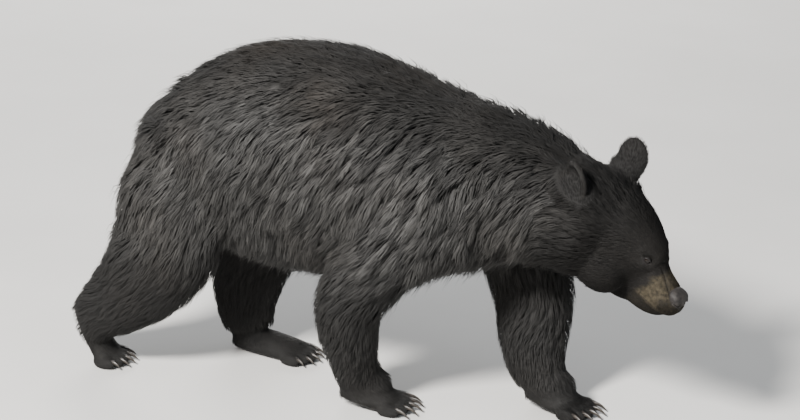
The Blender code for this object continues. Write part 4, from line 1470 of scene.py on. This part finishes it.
def hair_colour_group():
    """The bear's markings: black to brown hair, tan on the muzzle, and painted shade darker at the
    roots.
    """
    if "hair_colours" in bpy.data.node_groups:
        return bpy.data.node_groups["hair_colours"]
    number, colour = "NodeSocketFloat", "NodeSocketColor"
    group, nodes, given, result = new_group(
        "hair_colours",
        (("Tan", number), ("Brown", number), ("Tint", number), ("Tip", number)),
        (("Color", colour), ("Roughness", number)))
    place = nodes.place()
    patches = nodes.noise(place, 9.0, 3.0)
    flecks = nodes.noise(place, 140.0, 2.0)
    black = nodes.mix(given.outputs["Tint"], (0.0050, 0.0048, 0.0047), (0.0640, 0.0625, 0.0600))
    brown = nodes.mix(given.outputs["Tint"], (0.0080, 0.0064, 0.0052), (0.070, 0.057, 0.046))
    browning = nodes.value("MULTIPLY", given.outputs["Brown"],
                           nodes.ranged(patches, 0.30, 0.68, 0.60, 1.1))
    browning = nodes.value("MULTIPLY", browning, nodes.ranged(given.outputs["Tip"], 0.1, 0.9,
                                                              0.5, 1.0))
    dark = nodes.mix(browning, black, brown)
    tan = nodes.mix(nodes.ranged(flecks, 0.32, 0.68), (0.020, 0.017, 0.012),
                    (0.068, 0.056, 0.036))
    tan = nodes.mix(nodes.value("MULTIPLY", given.outputs["Tint"], 0.45), tan,
                    (0.055, 0.048, 0.036))
    coloured = nodes.mix(given.outputs["Tan"], dark, tan)
    # painted shade: the colour darkens toward the root of each lock
    painted_root_shade = nodes.ranged(given.outputs["Tip"], 0.0, 0.65, 0.62, 1.0)
    shaded = nodes.add("ShaderNodeVectorMath", operation="SCALE")
    nodes.link(coloured, shaded.inputs[0])
    nodes.link(painted_root_shade, shaded.inputs["Scale"])
    nodes.link(shaded.outputs[0], result.inputs["Color"])
    nodes.link(nodes.ranged(given.outputs["Tint"], 0.0, 0.8, 0.80, 0.44),
               result.inputs["Roughness"])
    return group


def strand_group():
    """Fine strands along a lock: a value that changes fast across it and slowly along it."""
    if "hair_strands" in bpy.data.node_groups:
        return bpy.data.node_groups["hair_strands"]
    group, nodes, given, result = new_group(
        "hair_strands", (("Hair", "NodeSocketVector"), ("Count", "NodeSocketFloat")),
        (("Strand", "NodeSocketFloat"),))
    parts = nodes.add("ShaderNodeSeparateXYZ")
    nodes.link(given.outputs["Hair"], parts.inputs[0])
    joined = nodes.add("ShaderNodeCombineXYZ")
    nodes.link(nodes.value("MULTIPLY", parts.outputs[0], given.outputs["Count"]),
               joined.inputs[0])
    nodes.link(nodes.value("MULTIPLY", parts.outputs[1], 1.6), joined.inputs[1])
    nodes.link(nodes.value("MULTIPLY", parts.outputs[2], 61.0), joined.inputs[2])
    nodes.link(nodes.noise(joined.outputs[0], 1.0, 2.0), result.inputs["Strand"])
    return group


def new_material(name, **sockets):
    """A material, its nodes and its shader, with the shader's sockets set by their names."""
    material = bpy.data.materials.new(name)
    material.use_nodes = True
    shader = material.node_tree.nodes["Principled BSDF"]
    for label, value in sockets.items():
        shader.inputs[label.replace("_", " ")].default_value = value
    return material, Nodes(material.node_tree), shader


def attribute(nodes, name):
    return nodes.add("ShaderNodeAttribute", attribute_name=name).outputs["Vector"]


def strands_of(nodes, count):
    """The strand value of the mesh's own hair, with this many strands across."""
    strands = nodes.add("ShaderNodeGroup", node_tree=strand_group())
    nodes.link(attribute(nodes, "hair"), strands.inputs["Hair"])
    strands.inputs["Count"].default_value = count
    return strands.outputs[0]


def marked_hair(nodes):
    """The coat's colours fed with the mesh's own markings, and its third marking."""
    colours = nodes.add("ShaderNodeGroup", node_tree=hair_colour_group())
    tan, brown, third = split_vector(nodes, attribute(nodes, "mark"))[:3]
    nodes.link(tan, colours.inputs["Tan"])
    nodes.link(brown, colours.inputs["Brown"])
    return colours, third


def split_vector(nodes, vector):
    parts = nodes.add("ShaderNodeSeparateXYZ")
    nodes.link(vector, parts.inputs[0])
    return parts.outputs


def dress(nodes, shader, colour, roughness, height=None, strength=0.0, distance=0.0):
    """Feeds the shader its colour and roughness, and a bump from the height."""
    nodes.link(colour, shader.inputs["Base Color"])
    nodes.link(roughness, shader.inputs["Roughness"])
    if height is not None:
        bump = nodes.add("ShaderNodeBump")
        bump.inputs["Strength"].default_value = strength
        bump.inputs["Distance"].default_value = distance
        nodes.link(height, bump.inputs["Height"])
        nodes.link(bump.outputs["Normal"], shader.inputs["Normal"])


HairFinish = namedtuple("HairFinish", "gloss sheen streak paleness")
HAIR_FINISHES = {"bear_hair": HairFinish(0.22, 0.02, 0.19, 0.58),
                 "nape_hair": HairFinish(0.18, 0.01, 0.15, 0.58),
                 "face_hair": HairFinish(0.10, 0.0, 0.05, 0.42)}


def coat_material(piece_name):
    """Hair of the body, duller on the nape and dullest on the head."""
    name = "bear_hair"
    if "neck" in piece_name:
        name = "nape_hair"
    if any(word in piece_name for word in ("head", "face", "ear_")):
        name = "face_hair"
    if name in bpy.data.materials:
        return bpy.data.materials[name]
    finish = HAIR_FINISHES[name]
    material, nodes, shader = new_material(
        name, Specular_IOR_Level=finish.gloss, Sheen_Weight=finish.sheen, Sheen_Roughness=0.45)
    strands = strands_of(nodes, 5.0)
    colours, tint = marked_hair(nodes)
    streaked = nodes.value("ADD", nodes.value("MULTIPLY", tint, finish.paleness),
                           nodes.ranged(strands, 0.35, 0.65, 0.0, finish.streak))
    nodes.link(streaked, colours.inputs["Tint"])
    nodes.link(split_vector(nodes, attribute(nodes, "hair"))[1], colours.inputs["Tip"])
    dress(nodes, shader, colours.outputs["Color"], colours.outputs["Roughness"],
          strands, 0.5, 0.0006)
    return material


def skin_material():
    """Short hair close to the skin, bare lips and lids, and leathery soles."""
    material, nodes, shader = new_material("bear_skin", Specular_IOR_Level=0.25)
    strands = strands_of(nodes, 900.0)
    colours, bare = marked_hair(nodes)
    fine = nodes.ranged(strands, 0.35, 0.65)
    nodes.link(nodes.value("MULTIPLY", fine, 0.26), colours.inputs["Tint"])
    # the skin is coloured as hair near its root, so it takes part of the painted root shade
    colours.inputs["Tip"].default_value = 0.30
    wrinkles = nodes.noise(nodes.place(), 420.0, 4.0)
    leather = nodes.mix(nodes.ranged(wrinkles, 0.35, 0.65), (0.005, 0.0045, 0.0045),
                        (0.020, 0.017, 0.016))
    relief = nodes.add("ShaderNodeMix", data_type="FLOAT")
    nodes.link(bare, relief.inputs[0])
    nodes.link(strands, relief.inputs[2])
    nodes.link(wrinkles, relief.inputs[3])
    dress(nodes, shader, nodes.mix(bare, colours.outputs["Color"], leather),
          nodes.ranged(bare, 0.0, 1.0, 0.78, 0.60), relief.outputs[0], 0.7, 0.0012)
    return material


def nose_material():
    material, nodes, shader = new_material("nose_skin", Specular_IOR_Level=0.28)
    place = nodes.place()
    pebbles = nodes.add("ShaderNodeTexVoronoi")
    pebbles.inputs["Scale"].default_value = 720.0
    nodes.link(place, pebbles.inputs["Vector"])
    cells = nodes.ranged(pebbles.outputs["Distance"], 0.0, 0.7, 1.0, 0.0)
    patches = nodes.ranged(nodes.noise(place, 110.0, 2.0), 0.35, 0.65)
    colour = nodes.mix(patches, (0.0130, 0.0112, 0.0106), (0.038, 0.033, 0.030))
    colour = nodes.mix(nodes.ranged(cells, 0.0, 1.0, 0.45, 1.0), (0.006, 0.0052, 0.0052), colour)
    dress(nodes, shader, colour, nodes.ranged(patches, 0.0, 1.0, 0.52, 0.62), cells, 0.55, 0.0006)
    return material


def eye_material():
    material, nodes, shader = new_material("eye_gloss", Specular_IOR_Level=0.32)
    off_gaze = split_vector(nodes, attribute(nodes, "gaze"))[0]
    fibres = nodes.ranged(nodes.noise(nodes.place(), 900.0, 2.0), 0.3, 0.7)
    iris = nodes.mix(fibres, (0.003, 0.0018, 0.0012), (0.009, 0.0050, 0.0030))
    pupil = nodes.mix(nodes.ranged(off_gaze, 0.17, 0.21), (0.001, 0.001, 0.001), iris)
    white = nodes.mix(nodes.ranged(off_gaze, 0.60, 0.74), pupil, (0.006, 0.005, 0.004))
    dress(nodes, shader, white, nodes.ranged(off_gaze, 0.0, 1.2, 0.03, 0.12))
    return material


def lid_material():
    material, nodes, shader = new_material("lid_skin", Specular_IOR_Level=0.25)
    creases = nodes.noise(nodes.place(), 620.0, 3.0)
    colour = nodes.mix(nodes.ranged(creases, 0.35, 0.65), (0.004, 0.0035, 0.0035),
                       (0.012, 0.010, 0.010))
    dress(nodes, shader, colour, nodes.ranged(creases, 0.3, 0.7, 0.48, 0.62), creases, 0.4, 0.0004)
    return material


def claw_material():
    material, nodes, shader = new_material("claw_horn")
    place = nodes.place()
    stretch = nodes.add("ShaderNodeMapping")
    stretch.inputs["Scale"].default_value = (90.0, 900.0, 300.0)
    nodes.link(place, stretch.inputs["Vector"])
    lines = nodes.noise(stretch.outputs[0], 1.0, 3.0)
    patches = nodes.noise(place, 130.0, 2.0)
    horn = nodes.mix(nodes.ranged(lines, 0.35, 0.65), (0.010, 0.008, 0.007),
                     (0.036, 0.029, 0.023))
    colour = nodes.mix(nodes.ranged(patches, 0.45, 0.75, 0.0, 0.5), horn, (0.070, 0.058, 0.046))
    dress(nodes, shader, colour, nodes.ranged(lines, 0.3, 0.7, 0.32, 0.48), lines, 0.25, 0.0004)
    return material


def mark_skin(mesh):
    """The coat's markings on the skin, and strand values that follow the lie of the coat."""
    points = vertex_array(mesh)
    normals = vertex_array(mesh, "normal")
    head, back = in_head(points)
    above = head[:, 2] - mouth_height(head[:, 0])
    bare = sole_mark(points, normals)
    bare = np.maximum(bare, bell(above, 0.0026) * (back < 0.100))
    for hand in SIDES.values():
        _, distance, opening, ahead = about_eye(head, hand)
        near = (distance < 0.020) & (ahead > 0)
        bare = np.maximum(bare, near * smoothstep(1.5, 1.2, opening))
    add_attribute(mesh, "mark", np.stack([tan_mark(points), brown_mark(points), bare], 1))
    ways = lie_of_coat(points, normals)
    across = np.cross(normals, ways)
    add_attribute(mesh, "hair", np.stack([np.sum(points * across, axis=1),
                                          np.sum(points * ways, axis=1) * 20,
                                          np.zeros(len(points))], 1))


# ---------------------------------------------------------------- stage, light and camera

FLOOR_HALF = 12.0
LIGHT_AIM = (0.0, 0.0, 0.40)
CAMERA_ANGLES = (21.0, 18.5, 2.5)  # ahead of square to the bear, down, and roll, in degrees
CAMERA_AIM = (-0.02, 0.03, 0.41)
CAMERA_DISTANCE = 7.0
FOCAL_LENGTH = 148.05


def make_stage():
    shape = bmesh.new()
    bmesh.ops.create_grid(shape, x_segments=2, y_segments=2, size=FLOOR_HALF)
    floor = bpy.data.objects.new("studio_floor", mesh_of(shape, "studio_floor"))
    bpy.context.scene.collection.objects.link(floor)
    material, nodes, shader = new_material("studio_floor", Roughness=0.85)
    nodes.link(nodes.mix(nodes.ranged(nodes.noise(nodes.place(), 2.0), 0.3, 0.7),
                         (0.60, 0.59, 0.57), (0.64, 0.63, 0.61)), shader.inputs["Base Color"])
    floor.data.materials.append(material)


def make_world():
    world = bpy.data.worlds.new("studio")
    bpy.context.scene.world = world
    world.use_nodes = True
    backdrop = world.node_tree.nodes["Background"]
    backdrop.inputs["Color"].default_value = (0.86, 0.92, 1.0, 1.0)
    backdrop.inputs["Strength"].default_value = 0.46


def area_light(name, place, size, watts, colour):
    light = bpy.data.lights.new(name, "AREA")
    light.shape = "DISK"
    light.size = size
    light.energy = watts
    light.color = colour
    lamp = bpy.data.objects.new(name, light)
    lamp.location = place
    lamp.rotation_euler = (Vector(LIGHT_AIM) - Vector(place)).to_track_quat("-Z", "Y").to_euler()
    bpy.context.scene.collection.objects.link(lamp)


def make_lights():
    area_light("key_light", (-0.9, -5.5, 4.55), 1.3, 1600.0, (1.0, 0.975, 0.94))
    area_light("fill_light", (4.5, -2.5, 2.6), 3.5, 40.0, (0.90, 0.95, 1.0))
    area_light("back_light", (-2.5, 5.0, 2.4), 3.0, 260.0, (1.0, 0.98, 0.95))


def make_camera():
    """A long lens from the right of the bear and a little ahead, looking down on it."""
    azimuth, elevation, roll = (math.radians(angle) for angle in CAMERA_ANGLES)
    aim = Vector(CAMERA_AIM) + STAND
    back = Vector((math.sin(azimuth) * math.cos(elevation),
                   -math.cos(azimuth) * math.cos(elevation), math.sin(elevation)))
    right = Vector((math.cos(azimuth), math.sin(azimuth), 0.0))
    up = back.cross(right)
    tilted_right = right * math.cos(roll) + up * math.sin(roll)
    tilted_up = up * math.cos(roll) - right * math.sin(roll)
    turn = Matrix((tilted_right, tilted_up, back)).transposed().to_4x4()
    lens = bpy.data.cameras.new("camera")
    lens.sensor_width = 36.0
    lens.lens = FOCAL_LENGTH
    camera = bpy.data.objects.new("camera", lens)
    camera.matrix_world = Matrix.Translation(aim + back * CAMERA_DISTANCE) @ turn
    bpy.context.scene.collection.objects.link(camera)
    bpy.context.scene.camera = camera


# ---------------------------------------------------------------- the bear


def make_bear():
    """Every piece over the solids, in one frame with them."""
    skin = make_skin()
    mark_skin(skin)
    make_coat(skin)
    lid_finish, eye_finish, horn = lid_material(), eye_material(), claw_material()
    pieces = [("skin", skin, "fur", skin_material(), FLESH_NODES),
              ("nose_leather", nose_leather(), "nose", nose_material(), ("nose",))]
    for word, hand in SIDES.items():
        pieces += [(f"eyeball_{word}", eyeball(hand), "eye", eye_finish, (f"eye_{word}",)),
                   (f"eyelids_{word}", eyelids(hand), "nose", lid_finish)]
    for name, foot in FEET.items():
        solids = tuple(f"{name}_claw_{toe}" for toe in range(1, TOES + 1))
        pieces.append((f"claws_{name}", claws(foot), "claw", horn, solids))
    for name, mesh, *dress in pieces:
        mesh.polygons.foreach_set("use_smooth", np.ones(len(mesh.polygons), bool))
        mesh.update()
        new_piece(name, mesh, *dress)


make_camera()
make_stage()
make_world()
make_lights()
make_bear()
